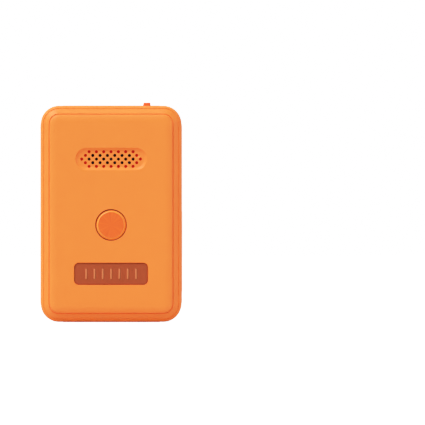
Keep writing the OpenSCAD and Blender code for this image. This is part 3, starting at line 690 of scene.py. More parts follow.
def screen_glass():
    """Grey-green display face with painted shade along its edges, which darkens them to a deeper blue-green."""
    base = tuple(look("display").screen_green)
    f = Finish("display green", base, 0.32)
    half = extent("lcd_panel") / 2
    edges = [
        f.ranged(size, 0, 1, reach - 2.2 * MM, reach - 1.0 * MM)
        for size, reach in zip(from_middle(f, "lcd_panel"), (half.y, half.z))
    ]
    f.paint(f.ranged(f.noise(3 * MM, 2), 0, 1, 0.3, 0.7), shade(base, 0.97), shade(base, 1.04))
    # Painted shade along the screen's edges, where the bezel's wall shades it.
    edge_shade_colour = [c * share for c, share in zip(base, (0.62, 0.86, 0.92))]
    f.paint_over(f.math("MAXIMUM", *edges), edge_shade_colour)
    f.bump(f.noise(0.2 * MM, 2), 0.002 * MM)
    return f


def clear_window():
    f = Finish("clear window", (0.94, 0.97, 0.94), 0.06)
    f.rough(f.noise(4 * MM, 2), 0.04, 0.09)
    f.put(f.inputs["Alpha"], 0.04)
    return f


def acoustic_mesh():
    """Black woven mesh."""
    f = Finish("acoustic mesh", (0.006, 0.006, 0.006), 0.8)
    weave = f.node("ShaderNodeTexChecker", Vector=f.coordinates, Scale=1 / (0.16 * MM)).outputs["Fac"]
    f.paint(weave, (0.003, 0.003, 0.003), (0.012, 0.012, 0.012))
    f.bump(weave, 0.02 * MM)
    return f


def plain_metal(name, base, roughness):
    """Metal with drawn streaks and a few soft smudges."""
    f = Finish(name, base, roughness, metallic=1.0)
    streak = f.noise(1 * MM, 4, f.mapped(scale=(1, 6, 1)))
    f.paint(f.noise(5 * MM, 2), shade(base, 0.93), shade(base, 1.04))
    f.rough(streak, roughness * 0.8, roughness * 1.25)
    f.bump(streak, 0.003 * MM)
    return f


def copper_wire():
    f = Finish("enamelled copper", (0.62, 0.25, 0.09), 0.28, metallic=1.0)
    tint = f.noise(1.2 * MM, 3)
    f.paint(tint, (0.5, 0.18, 0.06), (0.68, 0.3, 0.12))
    f.rough(tint, 0.22, 0.36)
    f.coat(0.6, 0.12)
    return f


def circuit_board():
    """Green solder mask with copper tracks showing through and rows of bright pads."""
    f = Finish("circuit board", (0.012, 0.12, 0.05), 0.35)
    flat = f.mapped(turn=(QUARTER, 0, 0))
    tracks = f.node("ShaderNodeTexBrick", Vector=flat, Scale=1 / (9 * MM), Mortar_Size=0.05).outputs["Fac"]
    cells = f.node("ShaderNodeTexVoronoi", Vector=f.coordinates, Scale=1 / (2.4 * MM))
    f.paint(tracks, (0.010, 0.105, 0.045), (0.03, 0.2, 0.085))
    f.paint_over(f.ranged(cells.outputs["Distance"], 1, 0, 0.08, 0.12), (0.75, 0.68, 0.5))
    f.rough(tracks, 0.36, 0.26)
    f.bump(tracks, 0.02 * MM)
    return f


def cone_paper():
    f = Finish("cone paper", (0.03, 0.03, 0.03), 0.8)
    fibre = f.noise(0.5 * MM, 5, f.mapped(scale=(1, 1, 5)))
    f.paint(fibre, (0.02, 0.02, 0.02), (0.05, 0.048, 0.045))
    f.bump(fibre, 0.03 * MM)
    return f


def cell_sleeve():
    """A shrink sleeve in two plain colours with a few pale scuffs."""
    f = Finish("cell sleeve", (0.05, 0.16, 0.32), 0.25)
    scuff = f.noise(1.5 * MM, 5)
    band = f.ranged(f.xyz(f.coordinates)["Y"], 0, 1, 0.1 * MM, 0.3 * MM)
    f.paint(band, (0.05, 0.16, 0.32), (0.55, 0.56, 0.57))
    f.paint_over(f.ranged(scuff, 0, 0.25, 0.55, 0.8), (0.6, 0.62, 0.65))
    f.rough(scuff, 0.2, 0.34)
    f.coat(0.5)
    return f


def amber_film():
    f = Finish("amber film", (0.5, 0.22, 0.04), 0.28)
    lines = f.node("ShaderNodeTexWave", Vector=f.coordinates, Scale=1 / (4 * MM), Distortion=0.0)
    lines.bands_direction = "Z"
    f.paint(lines.outputs["Fac"], (0.42, 0.17, 0.03), (0.62, 0.3, 0.07))
    f.bump(lines.outputs["Fac"], 0.01 * MM)
    return f


FINISH_MAKERS = {
    "shell": shell_plastic,
    "grille": grille_plastic,
    "button_cap": spun_plastic,
    "slider": lambda: paint_red_glow(
        moulded_plastic("slider red", look("switch").slider_red, 0.4, 0.3, 0.006, specular=0.25)
    ),
    "nameplate": plate_paint,
    "bezel": bezel_plastic,
    "lens": clear_window,
    "lcd": screen_glass,
    "lcd_dark": lambda: moulded_plastic("display block", look("display").block_grey, 0.3, 0.2, 0.002),
    "rubber": lambda: moulded_plastic("seal rubber", (0.022, 0.022, 0.022), 0.62, 0.25, 0.02),
    "black_mesh": acoustic_mesh,
    "black_plastic": lambda: moulded_plastic("black plastic", (0.03, 0.03, 0.032), 0.45, 0.4, 0.012),
    "white_plastic": lambda: moulded_plastic("natural nylon", (0.7, 0.68, 0.6), 0.4, 0.5, 0.01),
    "board": circuit_board,
    "chips": lambda: moulded_plastic("chip package", (0.02, 0.02, 0.022), 0.4, 0.2, 0.01),
    "steel": lambda: plain_metal("plain steel", (0.42, 0.43, 0.45), 0.32),
    "plated": lambda: plain_metal("nickel plate", (0.66, 0.66, 0.65), 0.2),
    "ferrite": lambda: moulded_plastic("ferrite", (0.045, 0.045, 0.048), 0.5, 0.15, 0.02),
    "copper": copper_wire,
    "paper_cone": cone_paper,
    "cell_sleeve": cell_sleeve,
    "flex": amber_film,
}


@cache
def finish(slot):
    return FINISH_MAKERS[slot]().material


# ---------------------------------------------------------------- edge shapes


def arc(across, rise, foot, turn=QUARTER, steps=LIP_STEPS, first=0):
    """A round's (inset, height) points, from its wall over to its flat."""
    angles = [turn * i / steps for i in range(first, steps + 1)]
    return [(across * (1 - math.cos(a)), foot + rise * math.sin(a)) for a in angles]


def shoulder(h):
    """The shoulder's edge from the side wall to its inner rim, as (inset, distance in front of the middle)."""
    strip, rim = HALF_DEPTH - h.strip_depth, HALF_DEPTH - h.rim_depth
    across = h.strip_inset / (1 - math.cos(ROUND_ANGLE))
    rise = (h.shoulder_depth - h.strip_depth) / math.sin(ROUND_ANGLE)
    edge = arc(across, rise, HALF_DEPTH - h.shoulder_depth, ROUND_ANGLE, EDGE_STEPS)
    start, foot = h.strip_inset + h.line_width, strip + 0.36 * MM
    edge += [(h.strip_inset + 0.04 * MM, strip - 0.06 * MM), (h.strip_inset + 0.1 * MM, strip - h.line_depth)]
    edge += [(start - 0.16 * MM, strip - h.line_depth), (start - 0.1 * MM, strip)]
    for i in range(EDGE_STEPS + 1):
        t = i / EDGE_STEPS
        edge.append((start + (h.parting_inset - start) * t, foot + (rim - foot) * t))
    return edge


def cover_edge(h):
    """The raised cover's edge over its seat: a wall, a round and a long fade up to the flat face."""
    foot = h.parting_depth - h.cover_drop - h.cover_round * math.sin(COVER_TURN)
    edge = [(0, -h.groove_depth), (0, foot - 0.1 * MM)]
    edge += arc(h.cover_round, h.cover_round, foot, COVER_TURN, EDGE_STEPS)
    start = edge[-1][0]
    for i in range(1, EDGE_STEPS + 1):
        t = i / EDGE_STEPS
        edge.append((start + h.cover_fade * t, h.parting_depth - h.cover_drop * (1 - t) ** 2.6))
    edge.append((start + h.cover_fade + 0.3 * MM, h.parting_depth))
    return edge


def pillow_edge(low, top, drop=0.45 * MM, reach=4.2 * MM):
    """A softly crowned panel edge with a small round and a fine step where it meets the groove."""
    edge = [(0, low)] + mm((0, -0.3), (0.08, -0.12), (0.28, 0), up=top - drop)
    edge += mm((0.9, 0), (0.98, -0.08), (1.2, -0.08), up=top - 0.75 * drop)
    start = 1.3 * MM
    for i in range(EDGE_STEPS + 1):
        t = i / EDGE_STEPS
        edge.append((start + (reach - start) * t, top - 0.7 * drop * (1 - t) ** 2))
    edge.append((reach + 1 * MM, top))
    return edge


def flared(depth, lip, over=MM, slope=0.02 * MM):
    """The side of a pocket cutter: a steep wall with a rounded lip, from the floor to above the surface."""
    return [(slope, -depth)] + arc(-lip, lip, -lip) + [(-lip, over)]


def bowl(depth, over=MM, sweep=1.35 * MM, lip=0.2 * MM):
    """The side of a dished cutter: a slope from the floor, hollow at its foot, up to a small rounded lip."""
    edge = [(sweep + 0.5 * MM, -depth), (sweep + 0.05 * MM, -depth)]
    for i in range(1, EDGE_STEPS + 1):
        t = i / EDGE_STEPS
        edge.append((sweep * (1 - t), -depth + (depth - lip) * t * (0.6 + 0.4 * t)))
    return edge + arc(-lip, lip, -lip, first=1) + [(-lip, over)]


# ---------------------------------------------------------------- pieces


def over_panel(name, side, wider, edge, radius=None):
    """A plate over a side panel's outline, wider than it by a margin all round."""
    node = side + "_side_panel"
    size, centre = extent(node), middle(node)
    place = placed(side, (0, centre.y, centre.z))
    width, height = size.y + 2 * wider, size.z + 2 * wider
    return moulded(name, width, height, radius or PANEL_ROUND + wider, edge, place)


class TRANSCEIVER_OT_housing(bpy.types.Operator):
    """Build the tube-shaped housing with its stepped shoulders and pockets"""

    bl_idname = "transceiver.housing"
    bl_label = "Housing"

    def execute(self, context):
        h = look("housing")
        low, high = corners("body_frame")
        width, height = high.x - low.x, high.z - low.z
        mouth, seat = 7 * MM - (HALF_WIDTH - high.x), 37 * MM
        floor = HALF_DEPTH - h.parting_depth - h.groove_depth
        front = shoulder(h)
        step, rim = front[-1]
        front += mm((0.08, -0.1), (0.1, -0.4), (0.6, -0.4), out=step, up=rim)
        front += [(step + 0.62 * MM, floor), (mouth, floor), (mouth, seat), (h.wall, seat)]
        profile = [(inset, -level) for inset, level in reversed(front)] + front
        place = placed("front", (0, 0, (low.z + high.z) / 2))
        made = moulded("housing_tube", width, height, h.corner_radius, profile, place, closed=True)
        cutters = [cut(side) for cut in (self.panel_pocket, self.panel_window) for side in ("left", "right")]
        cutters += [self.pad_pocket(side) for side in ("top", "bottom")]
        cutters += [self.switch_slot(high.z), *self.corner_lines(h.corner_radius, high)]
        carve(made, *cutters)
        settle(made, "housing", "shell", "body_frame")
        return {"FINISHED"}

    def corner_lines(self, radius, high):
        """The fine lines along the tube's four long round corners."""
        drop, reach, fine, taper = 4.2 * MM, 34 * MM, 0.24 * MM, 2 * MM
        mid_z = middle("body_frame").z
        out = math.sqrt(radius ** 2 - (radius - drop) ** 2)
        edge = [(0.02 * MM, -reach), (fine, -reach + taper), (fine, reach - taper), (0.02 * MM, reach)]
        spots = [
            (sx * (high.x - radius + out), 0, mid_z + sz * (high.z - mid_z - drop))
            for sx in (-1, 1) for sz in (-1, 1)
        ]
        return [turned("line", edge, placed("front", spot), steps=12) for spot in spots]

    def panel_pocket(self, side):
        surface = extent("body_frame").x / 2
        edge = mm((0.1, -1.6), (0, -0.5), (-0.12, -0.34), (-0.5, -0.16), (-1.3, 0), (-1.3, 2), up=surface)
        return over_panel("pocket", side, 0.4 * MM, edge)

    def panel_window(self, side):
        return over_panel("window", side, -1.9 * MM, mm((0, 33), (0, 36)))

    def pad_pocket(self, side):
        size, centre = extent(side + "_grip_pad"), middle(side + "_grip_pad")
        seam = 0.2 * MM
        edge = mm((0, -0.75), (0, -0.15), (-0.1, 0), (-0.1, 2), up=extent("body_frame").z / 2)
        place = placed(side, (0, centre.y, middle("body_frame").z))
        return moulded("pocket", size.x + 2 * seam, size.y + 2 * seam, PAD_ROUND + seam, edge, place)

    def switch_slot(self, surface):
        centre = middle("slide_switch_cap")
        edge = mm((0, -5), (0, -0.3), (-0.25, 0), (-0.25, 1))
        place = placed("top", (centre.x, centre.y, surface))
        return moulded("slot", 3 * MM, 8.3 * MM, 0.6 * MM, edge, place)


def cover_blank(face):
    """A raised cover and the locating lip under it, not yet cut."""
    h = look("housing")
    low, high = corners(face + "_cover")
    width, height = high.x - low.x, high.z - low.z
    seat = (1 if face == "rear" else -1) * (HALF_DEPTH - h.parting_depth)
    place = placed(face, (0, seat, (low.z + high.z) / 2))
    radius = h.corner_radius - h.parting_inset - 0.2 * MM
    made = moulded(face + "_cover_blank", width, height, radius, cover_edge(h), place)
    inset = (width - (HALF_WIDTH * 2 - 14.3 * MM)) / 2
    edge = mm((0, -0.45), (1.6, -0.45), (1.6, -3.4), (0, -3.4), out=inset)
    return made, moulded(face + "_lip", width, height, inset + 3 * MM, edge, place, closed=True)


class TRANSCEIVER_OT_front_cover(bpy.types.Operator):
    """Build the front cover with its grille, button hole and nameplate pocket"""

    bl_idname = "transceiver.front_cover"
    bl_label = "Front cover"

    def execute(self, context):
        f = look("front")
        made, lip = cover_blank("front")
        surface = -HALF_DEPTH
        nodes = ("speaker_mesh", "main_button", "nameplate")
        grille, button, plate = (placed("front", (0, surface, middle(node).z)) for node in nodes)
        round_end = f.grille_height / 2
        recess = moulded("recess", f.grille_width, f.grille_height, round_end, bowl(f.grille_recess), grille)
        edge = mm((0, -6), (0, -0.2), (0.05, -0.06), (0.16, 0), (0.16, 1), out=f.button_hole / 2)
        hole = turned("hole", edge, button, steps=96)
        size, seam = extent("nameplate"), 0.1 * MM
        pocket = moulded(
            "pocket", size.x + 2 * seam, size.z + 2 * seam, PAD_ROUND, flared(1.25 * MM, 0.25 * MM), plate
        )
        carve(made, recess, hole, pocket, *self.pegs(f, surface + f.grille_recess))
        made = joined("front_cover_shell", made, lip, *self.posts())
        settle(made, "housing", "shell", "front_cover", coat="grille")
        return {"FINISHED"}

    def posts(self):
        """The four posts that carry the main board."""
        start = -HALF_DEPTH + 2 * MM
        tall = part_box("main_board")[0][1] - start
        edge = [(2.6 * MM, -tall), (2.6 * MM, -0.3 * MM), (3 * MM, 0)]
        spots = corner_spots("board_screws", BOARD_POST_HEAD)
        return [turned("post", edge, placed("front", (x, start, z)), steps=32) for x, z in spots]

    def pegs(self, f, floor_y):
        """The cutters for the grille: the outer ring of holes stops short, the others go right through."""
        rows = (7, 8, 9, 8, 7)
        centre_z = middle("speaker_mesh").z
        spots = {True: [], False: []}
        for row, count in enumerate(rows):
            for i in range(count):
                inner = 0 < row < len(rows) - 1 and 0 < i < count - 1
                x = (i - (count - 1) / 2) * f.hole_pitch
                z = centre_z + (row - (len(rows) - 1) / 2) * f.row_pitch
                spots[inner].append((x, floor_y, z))
        return [
            grow("pegs", spots[inner], "perforation", diameter=f.hole_diameter, depth=depth, sides=20)
            for inner, depth in ((True, 8 * MM), (False, 1.7 * MM))
        ]


class TRANSCEIVER_OT_rear_cover(bpy.types.Operator):
    """Build the rear cover with its sunk screw seats"""

    bl_idname = "transceiver.rear_cover"
    bl_label = "Rear cover"

    def execute(self, context):
        made, lip = cover_blank("rear")
        edge = mm((1.45, -6), (1.45, -1.9), (2.55, -1.9), (2.55, -0.3), (2.65, -0.08), (2.85, 0), (2.85, 1))
        spots = corner_spots("rear_screws", SCREW_HEAD)
        carve(made, *(turned("seat", edge, placed("rear", (x, HALF_DEPTH, z)), steps=40) for x, z in spots))
        settle(joined("rear_cover_shell", made, lip), "housing", "shell", "rear_cover")
        return {"FINISHED"}


class TRANSCEIVER_OT_side_panels(bpy.types.Operator):
    """Build the two crowned side panels with the display's pocket and the battery bay's window"""

    bl_idname = "transceiver.side_panels"
    bl_label = "Side panels"

    def execute(self, context):
        self.left_panel()
        self.right_panel()
        return {"FINISHED"}

    def blank(self, side, top, backing_depth):
        """A crowned panel and the smaller plate behind it, not yet cut."""
        back = [(0, top - backing_depth), (0, top - 1.85 * MM)]
        return (
            over_panel(side + "_panel_blank", side, 0, pillow_edge(top - 1.9 * MM, top)),
            over_panel("backing", side, -2.15 * MM, back, PAD_ROUND),
        )

    def left_panel(self):
        top = HALF_WIDTH
        made, back = self.blank("left", top, 3.3 * MM)
        bezel, lcd, centre = extent("display_bezel"), extent("lcd_panel"), middle("display_bezel")
        place = placed("left", (-top, centre.y, centre.z))
        seam = 0.2 * MM
        pocket = moulded("pocket", bezel.y + seam, bezel.z + seam, 2.6 * MM, flared(1.8 * MM, 0.3 * MM), place)
        view = 0.3 * MM
        for part, cutters in ((made, [pocket]), (back, [])):
            edge = mm((0, -5), (0, -1.2))
            window = moulded("window", lcd.y + view, lcd.z + view, 0.5 * MM, edge, place)
            carve(part, *cutters, window)
        settle(joined("left_panel_shell", made, back), "housing", "shell", "left_side_panel")

    def right_panel(self):
        top = HALF_WIDTH - 0.1 * MM
        made, back = self.blank("right", top, 3.2 * MM)
        centre, size, bay = middle("battery_door"), extent("battery_door"), extent("battery_tray")
        pin, lock = middle("door_hinge_pin"), middle("door_lock_screw")
        seam, ledge = 0.3 * MM, 2.6 * MM
        reach = size.z / 2 + seam
        edge = [(0, 35.3 * MM)] + mm((0, -0.2), (-0.15, 0), (-0.15, 1), up=top)
        place = placed("right", (0, centre.y, centre.z))
        rebate = moulded("rebate", size.y + 2 * seam, size.z + 2 * seam, 3.2 * MM, edge, place)
        socket = turned("socket", mm((1.5, -6), (1.5, 0)), placed("right", (top, lock.y, lock.z)), steps=32)
        bay_place, hinge = placed("right", (0, 0, centre.z)), placed("top", (pin.x, pin.y, centre.z))
        for part, first in ((made, rebate), (back, socket)):
            opening = moulded("opening", bay.y - ledge, bay.z - ledge, MM, mm((0, 30), (0, 39)), bay_place)
            trough = turned("trough", [(2.25 * MM, -reach), (2.25 * MM, reach)], hinge, steps=48)
            carve(part, first, opening, trough)
        settle(joined("right_panel_shell", made, back), "housing", "shell", "right_side_panel")


class TRANSCEIVER_OT_grip_pads(bpy.types.Operator):
    """Build the ribbed grip pads on the top and the base"""

    bl_idname = "transceiver.grip_pads"
    bl_label = "Grip pads"

    def execute(self, context):
        s = look("switch")
        for side in ("top", "bottom"):
            node = side + "_grip_pad"
            size, centre = extent(node), middle(node)
            reach = CAD_BOX[0][2] if side == "bottom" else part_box(node)[1][2]
            place = placed(side, (0, centre.y, reach))
            edge = mm((0, -0.7), (0, -0.2), (0.06, -0.06), (0.2, 0), (1.5, 0), up=-0.15 * MM)
            pad = moulded("pad", size.x, size.y, PAD_ROUND, edge, place)
            rows = [
                self.rib_row(place, s.rib_count, s.rib_pitch, size.x - 5 * MM),
                self.rib_row(place, 2, s.rib_pitch * (s.rib_count + 1), 40 * MM),
            ]
            settle(joined(side + "_pad_ribbed", pad, *rows), "housing", "shell", node)
        return {"FINISHED"}

    def rib_row(self, place, count, pitch, rib_length):
        """Equal ribs in a row that is centred on the place."""
        edge = mm((0, -0.3), (0, -0.12), (0.05, -0.06), (0.16, -0.015), (0.32, 0))
        turn = place.to_3x3().to_4x4()
        rib = moulded("rib", rib_length, 1.1 * MM, 0.5 * MM, edge, turn)
        step = turn @ Vector((0, pitch, 0))
        first = place.translation - step * (count - 1) / 2
        row = grow(
            "ribs", [(0, 0, 0)], "row", "shell", original=rib, count=count, first=tuple(first), step=tuple(step)
        )
        bpy.data.objects.remove(rib)
        return row


class TRANSCEIVER_OT_nameplate(bpy.types.Operator):
    """Build the nameplate with its plain raised bars"""

    bl_idname = "transceiver.nameplate"
    bl_label = "Nameplate"

    def execute(self, context):
        f = look("front")
        size, centre = extent("nameplate"), middle("nameplate")
        place = placed("front", (0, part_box("nameplate")[0][1], centre.z))
        field = -0.3 * MM
        bm = bmesh.new()
        edge = [(0, -0.9 * MM)] + mm((0, -0.25), (0.1, -0.1), (0.45, 0), (1.4, 0), up=field)
        add_moulded(bm, size.x, size.z, 2.4 * MM, edge, place)
        bar = mm((0, -0.5)) + mm((0, 0), (0.03, 0.02), up=field) + mm((0.3, -0.03), (0.36, 0), (0.45, 0))
        for i in range(f.bar_count):
            spot = place @ Matrix.Translation(((i - (f.bar_count - 1) / 2) * f.bar_pitch, 0, 0))
            add_moulded(bm, 1.3 * MM, size.z * 0.5, 0.6 * MM, bar, spot)
        settle(piece("nameplate_relief", bm), "housing", "nameplate", "nameplate")
        return {"FINISHED"}


class TRANSCEIVER_OT_main_button(bpy.types.Operator):
    """Build the round button cap with its chamfer and spun face"""

    bl_idname = "transceiver.main_button"
    bl_label = "Main button"

    def execute(self, context):
        place = placed("front", (0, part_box("main_button")[0][1], middle("main_button").z))
        edge = mm((2.5, -5.6), (2.5, -3.4), (9.5, -3.4), (9.5, -2.5), (8.25, -2.5), (8.25, -1.2))
        edge += mm((0, -1.2), (0, -1), (-0.02, -0.85), (-0.12, -0.72), (-0.2, -0.62), out=7.8 * MM)
        edge += mm((6.98, -0.06), (6.92, -0.02), (6.84, 0), (6.7, 0), (5.5, 0), (0.4, 0))
        settle(turned("button_cap", edge, place, 128), "button", "button_cap", "main_button")
        dress(rubber="button_seal", black_plastic="tact_switch", steel="tact_plunger")
        return {"FINISHED"}


class TRANSCEIVER_OT_slide_switch(bpy.types.Operator):
    """Build the sliding switch on the top"""

    bl_idname = "transceiver.slide_switch"
    bl_label = "Slide switch"

    def execute(self, context):
        (low, high), centre = corners("slide_switch_cap"), middle("slide_switch_cap")
        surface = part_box("body_frame")[1][2]
        place = placed("top", (centre.x, centre.y, surface))
        edge = mm((0, 0.05), (0, 0.2), (0.04, 0.3))
        edge += mm((0.22, -0.32), (0.26, -0.18), (0.36, -0.06), (0.52, 0), (0.8, 0), up=high.z - surface)
        bm = bmesh.new()
        add_moulded(bm, high.x - low.x, high.y - low.y, MM, edge, place)
        add_moulded(bm, 2.4 * MM, 3 * MM, 0.1 * MM, [(0, low.z - surface), (0, 0.3 * MM)], place)
        settle(piece("slider_cap", bm), "switch", "slider", "slide_switch_cap")
        dress(black_plastic="slide_switch_slider", steel="slide_switch_body", board="switch_board")
        return {"FINISHED"}


class TRANSCEIVER_OT_display(bpy.types.Operator):
    """Build the display's bezel, window and screen"""

    bl_idname = "transceiver.display"
    bl_label = "Display"

    def execute(self, context):
        (low, high), centre = corners("display_bezel"), middle("display_bezel")
        width, height, depth = high.y - low.y, high.z - low.z, high.x - low.x
        inset = (width - look("display").window_width) / 2
        edge = [(0, -depth)] + mm((0, -0.55), (0.06, -0.42), (0.62, -0.06), (0.8, 0))
        edge += mm((-1.15, 0), (-0.95, -0.06), (-0.1, -0.95), (0, -1.1), out=inset) + [(inset, -depth)]
        rings = []
        for reach, level in edge:
            # The corners tighten from the bezel's round outside to the window's square inside.
            radius = 2.5 * MM + (0.35 * MM - 2.5 * MM) * min(reach / inset, 1)
            rings.append((rounded_outline(width - 2 * reach, height - 2 * reach, radius), level))
        bm = bmesh.new()
        skin(bm, rings, placed("left", (low.x, centre.y, centre.z)), closed=True)
        settle(piece("bezel_frame", bm), "housing", "bezel", "display_bezel")
        dress(
            lens="display_lens", lcd="lcd_panel", lcd_dark="lcd_segment_block", white_plastic="lcd_holder",
            rubber="display_gasket", board="display_board", flex="flex_cable",
        )
        return {"FINISHED"}


class TRANSCEIVER_OT_battery_door(bpy.types.Operator):
    """Build the battery door with its hinge barrel, seal and lock screw"""

    bl_idname = "transceiver.battery_door"
    bl_label = "Battery door"

    def execute(self, context):
        size, centre, pin = extent("battery_door"), middle("battery_door"), middle("door_hinge_pin")
        top, half = HALF_WIDTH, size.z / 2
        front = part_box("battery_door")[0][1]
        leaf = pin.y - front
        edge = mm((0, -1.9), (0, -0.3), (0.08, -0.1), (0.3, 0), (1.2, 0), up=top)
        place = placed("right", (0, front + leaf / 2, centre.z))
        made = moulded("door_leaf_blank", leaf, size.z, 3 * MM, edge, place)
        lock = middle("door_lock_screw")
        lock_place = placed("right", (top, lock.y, lock.z))
        seat = mm((1.25, -4), (1.25, -1.25), (2.35, -1.25), (2.35, -0.15), (2.5, 0), (2.5, 1))
        carve(made, turned("seat", seat, lock_place, steps=40))
        tube = mm((0.85, 0), (1.3, 0), (1.5, 0.2), up=-half) + mm((1.5, -0.2), (1.3, 0), (0.85, 0), up=half)
        barrel = turned("barrel", tube, placed("top", (pin.x, pin.y, centre.z)), 48, closed=True)
        settle(joined("door_leaf", made, barrel), "door", "shell", "battery_door")
        dress(rubber="door_seal", steel="door_hinge_pin")
        self.lock_screw(lock_place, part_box("door_lock_screw")[0][0] - top)
        return {"FINISHED"}

    def lock_screw(self, place, tip):
        """The slotted quarter-turn screw, from its tip to its head."""
        edge = [(1.2 * MM, tip)] + mm((1.2, -1.2), (2.2, -1.2), (2.2, -0.25), (2.14, -0.08))
        edge += mm((1.95, 0), (1.6, 0))
        screw = turned("lock_screw", edge, place, 48)
        carve(screw, moulded("slot", 3.4 * MM, 0.8 * MM, 0.3 * MM, mm((0, -0.6), (0, 1)), place))
        settle(screw, "door_lock", "steel", "door_lock_screw")


class TRANSCEIVER_OT_battery_bay(bpy.types.Operator):
    """Build the cells, their contact springs and the tray"""

    bl_idname = "transceiver.battery_bay"
    bl_label = "Battery bay"

    def execute(self, context):
        way = 1
        springs = {1: [], -1: []}
        for number in (1, 2, 3):
            node = f"battery_cell_{number}"
            (low, high), centre = corners(node), middle(node)
            face, start = ("rear", low.y) if way > 0 else ("front", high.y)
            self.cell(node, placed(face, (centre.x, start, centre.z)), high.y - low.y)
            springs[way].append(centre)
            way = -way
        self.springs(springs)
        dress(plated="contact_plates", black_plastic="battery_tray")
        return {"FINISHED"}

    def cell(self, node, place, full):
        nub = full - 0.8 * MM
        edge = mm((4.3, 0), (4.9, 0.05), (5.15, 0.3), (5.15, 0.7), (5.25, 0.8))
        edge += mm((5.25, -0.6), (5.05, -0.15), (4.7, 0), (2.4, -0.1), (2.0, -0.1), up=nub)
        edge += mm((1.95, -0.15), (1.75, 0), (1.2, 0), up=full)
        made = turned(node.replace("battery_", ""), edge, place, 48)
        settle(made, "housing", "cell_sleeve", node)

    def springs(self, spots):
        """Conical springs that press on the cells' flat ends."""
        low, high = corners("contact_springs")
        wire = 0.3 * MM
        ends = ((1, low.y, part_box("battery_cell_1")[0][1]), (-1, high.y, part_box("battery_cell_2")[1][1]))
        settle(joined("contact_spring_set", *(
            grow(
                "springs", [(p.x, start + way * wire, p.z) for p in spots[way]], "coil", "plated", turns=4.0,
                start_radius=3.2 * MM, end_radius=1.9 * MM, height=abs(cell_end - start) - 2 * wire,
                wire_radius=wire, rotation=(-way * QUARTER, 0, 0),
            )
            for way, start, cell_end in ends
        )), "housing", "plated", "contact_springs")


class TRANSCEIVER_OT_screws(bpy.types.Operator):
    """Build the four rear screws from one original"""

    bl_idname = "transceiver.screws"
    bl_label = "Screws"

    def execute(self, context):
        low, high = corners("rear_screws")
        place = placed("rear")
        edge = mm((1.0, 0), (1.25, 0.4), up=low.y - high.y) + mm((1.25, -1.6))
        edge += mm((0, -1.6), (0, -0.5), (-0.15, -0.2), (-0.5, -0.03), (-0.9, 0), (-1.1, 0), out=SCREW_HEAD)
        screw = turned("screw", edge, place, 32)
        carve(screw, turned("hex", mm((1.1, -0.9), (1.1, 1)), place, steps=6))
        spots = [(x, high.y, z) for x, z in corner_spots("rear_screws", SCREW_HEAD)]
        made = grow("rear_screw_set", spots, "copies", "steel", original=screw)
        bpy.data.objects.remove(screw)
        settle(made, "housing", "steel", "rear_screws")
        dress(steel="board_screws")
        return {"FINISHED"}


class TRANSCEIVER_OT_antennas(bpy.types.Operator):
    """Wind the three antenna coils on their ferrite rods"""

    bl_idname = "transceiver.antennas"
    bl_label = "Antennas"

    def execute(self, context):
        wire = 0.25 * MM
        rods = (("long", 2, (0, 0, 0)), ("cross", 0, (0, QUARTER, 0)), ("short", 1, (-QUARTER, 0, 0)))
        for name, axis, turn in rods:
            node = f"antenna_{name}_winding"
            (low, high), start = corners(node), middle(node)
            start[axis] = low[axis] + wire
            span = high[axis] - low[axis] - 2 * wire
            radius = max(high[i] - low[i] for i in range(3) if i != axis) / 2 - wire
            made = grow(
                f"{name}_coil", [start], "coil", "copper", turns=span / (COIL_PITCH * wire),
                start_radius=radius, end_radius=radius, height=span, wire_radius=wire, rotation=turn,
            )
            settle(made, "housing", "copper", node)
            dress(ferrite=f"antenna_{name}_core")
        dress(white_plastic="antenna_carrier")
        return {"FINISHED"}


class TRANSCEIVER_OT_electronics(bpy.types.Operator):
    """Give the boards, the speaker and the gaskets their finishes"""

    bl_idname = "transceiver.electronics"
    bl_label = "Electronics"

    def execute(self, context):
        dress(
            board="main_board", chips="board_components", plated="shield_can speaker_magnet",
            steel="speaker_frame", paper_cone="speaker_cone", black_mesh="speaker_mesh",
            rubber="speaker_gasket front_gasket rear_gasket",
        )
        return {"FINISHED"}


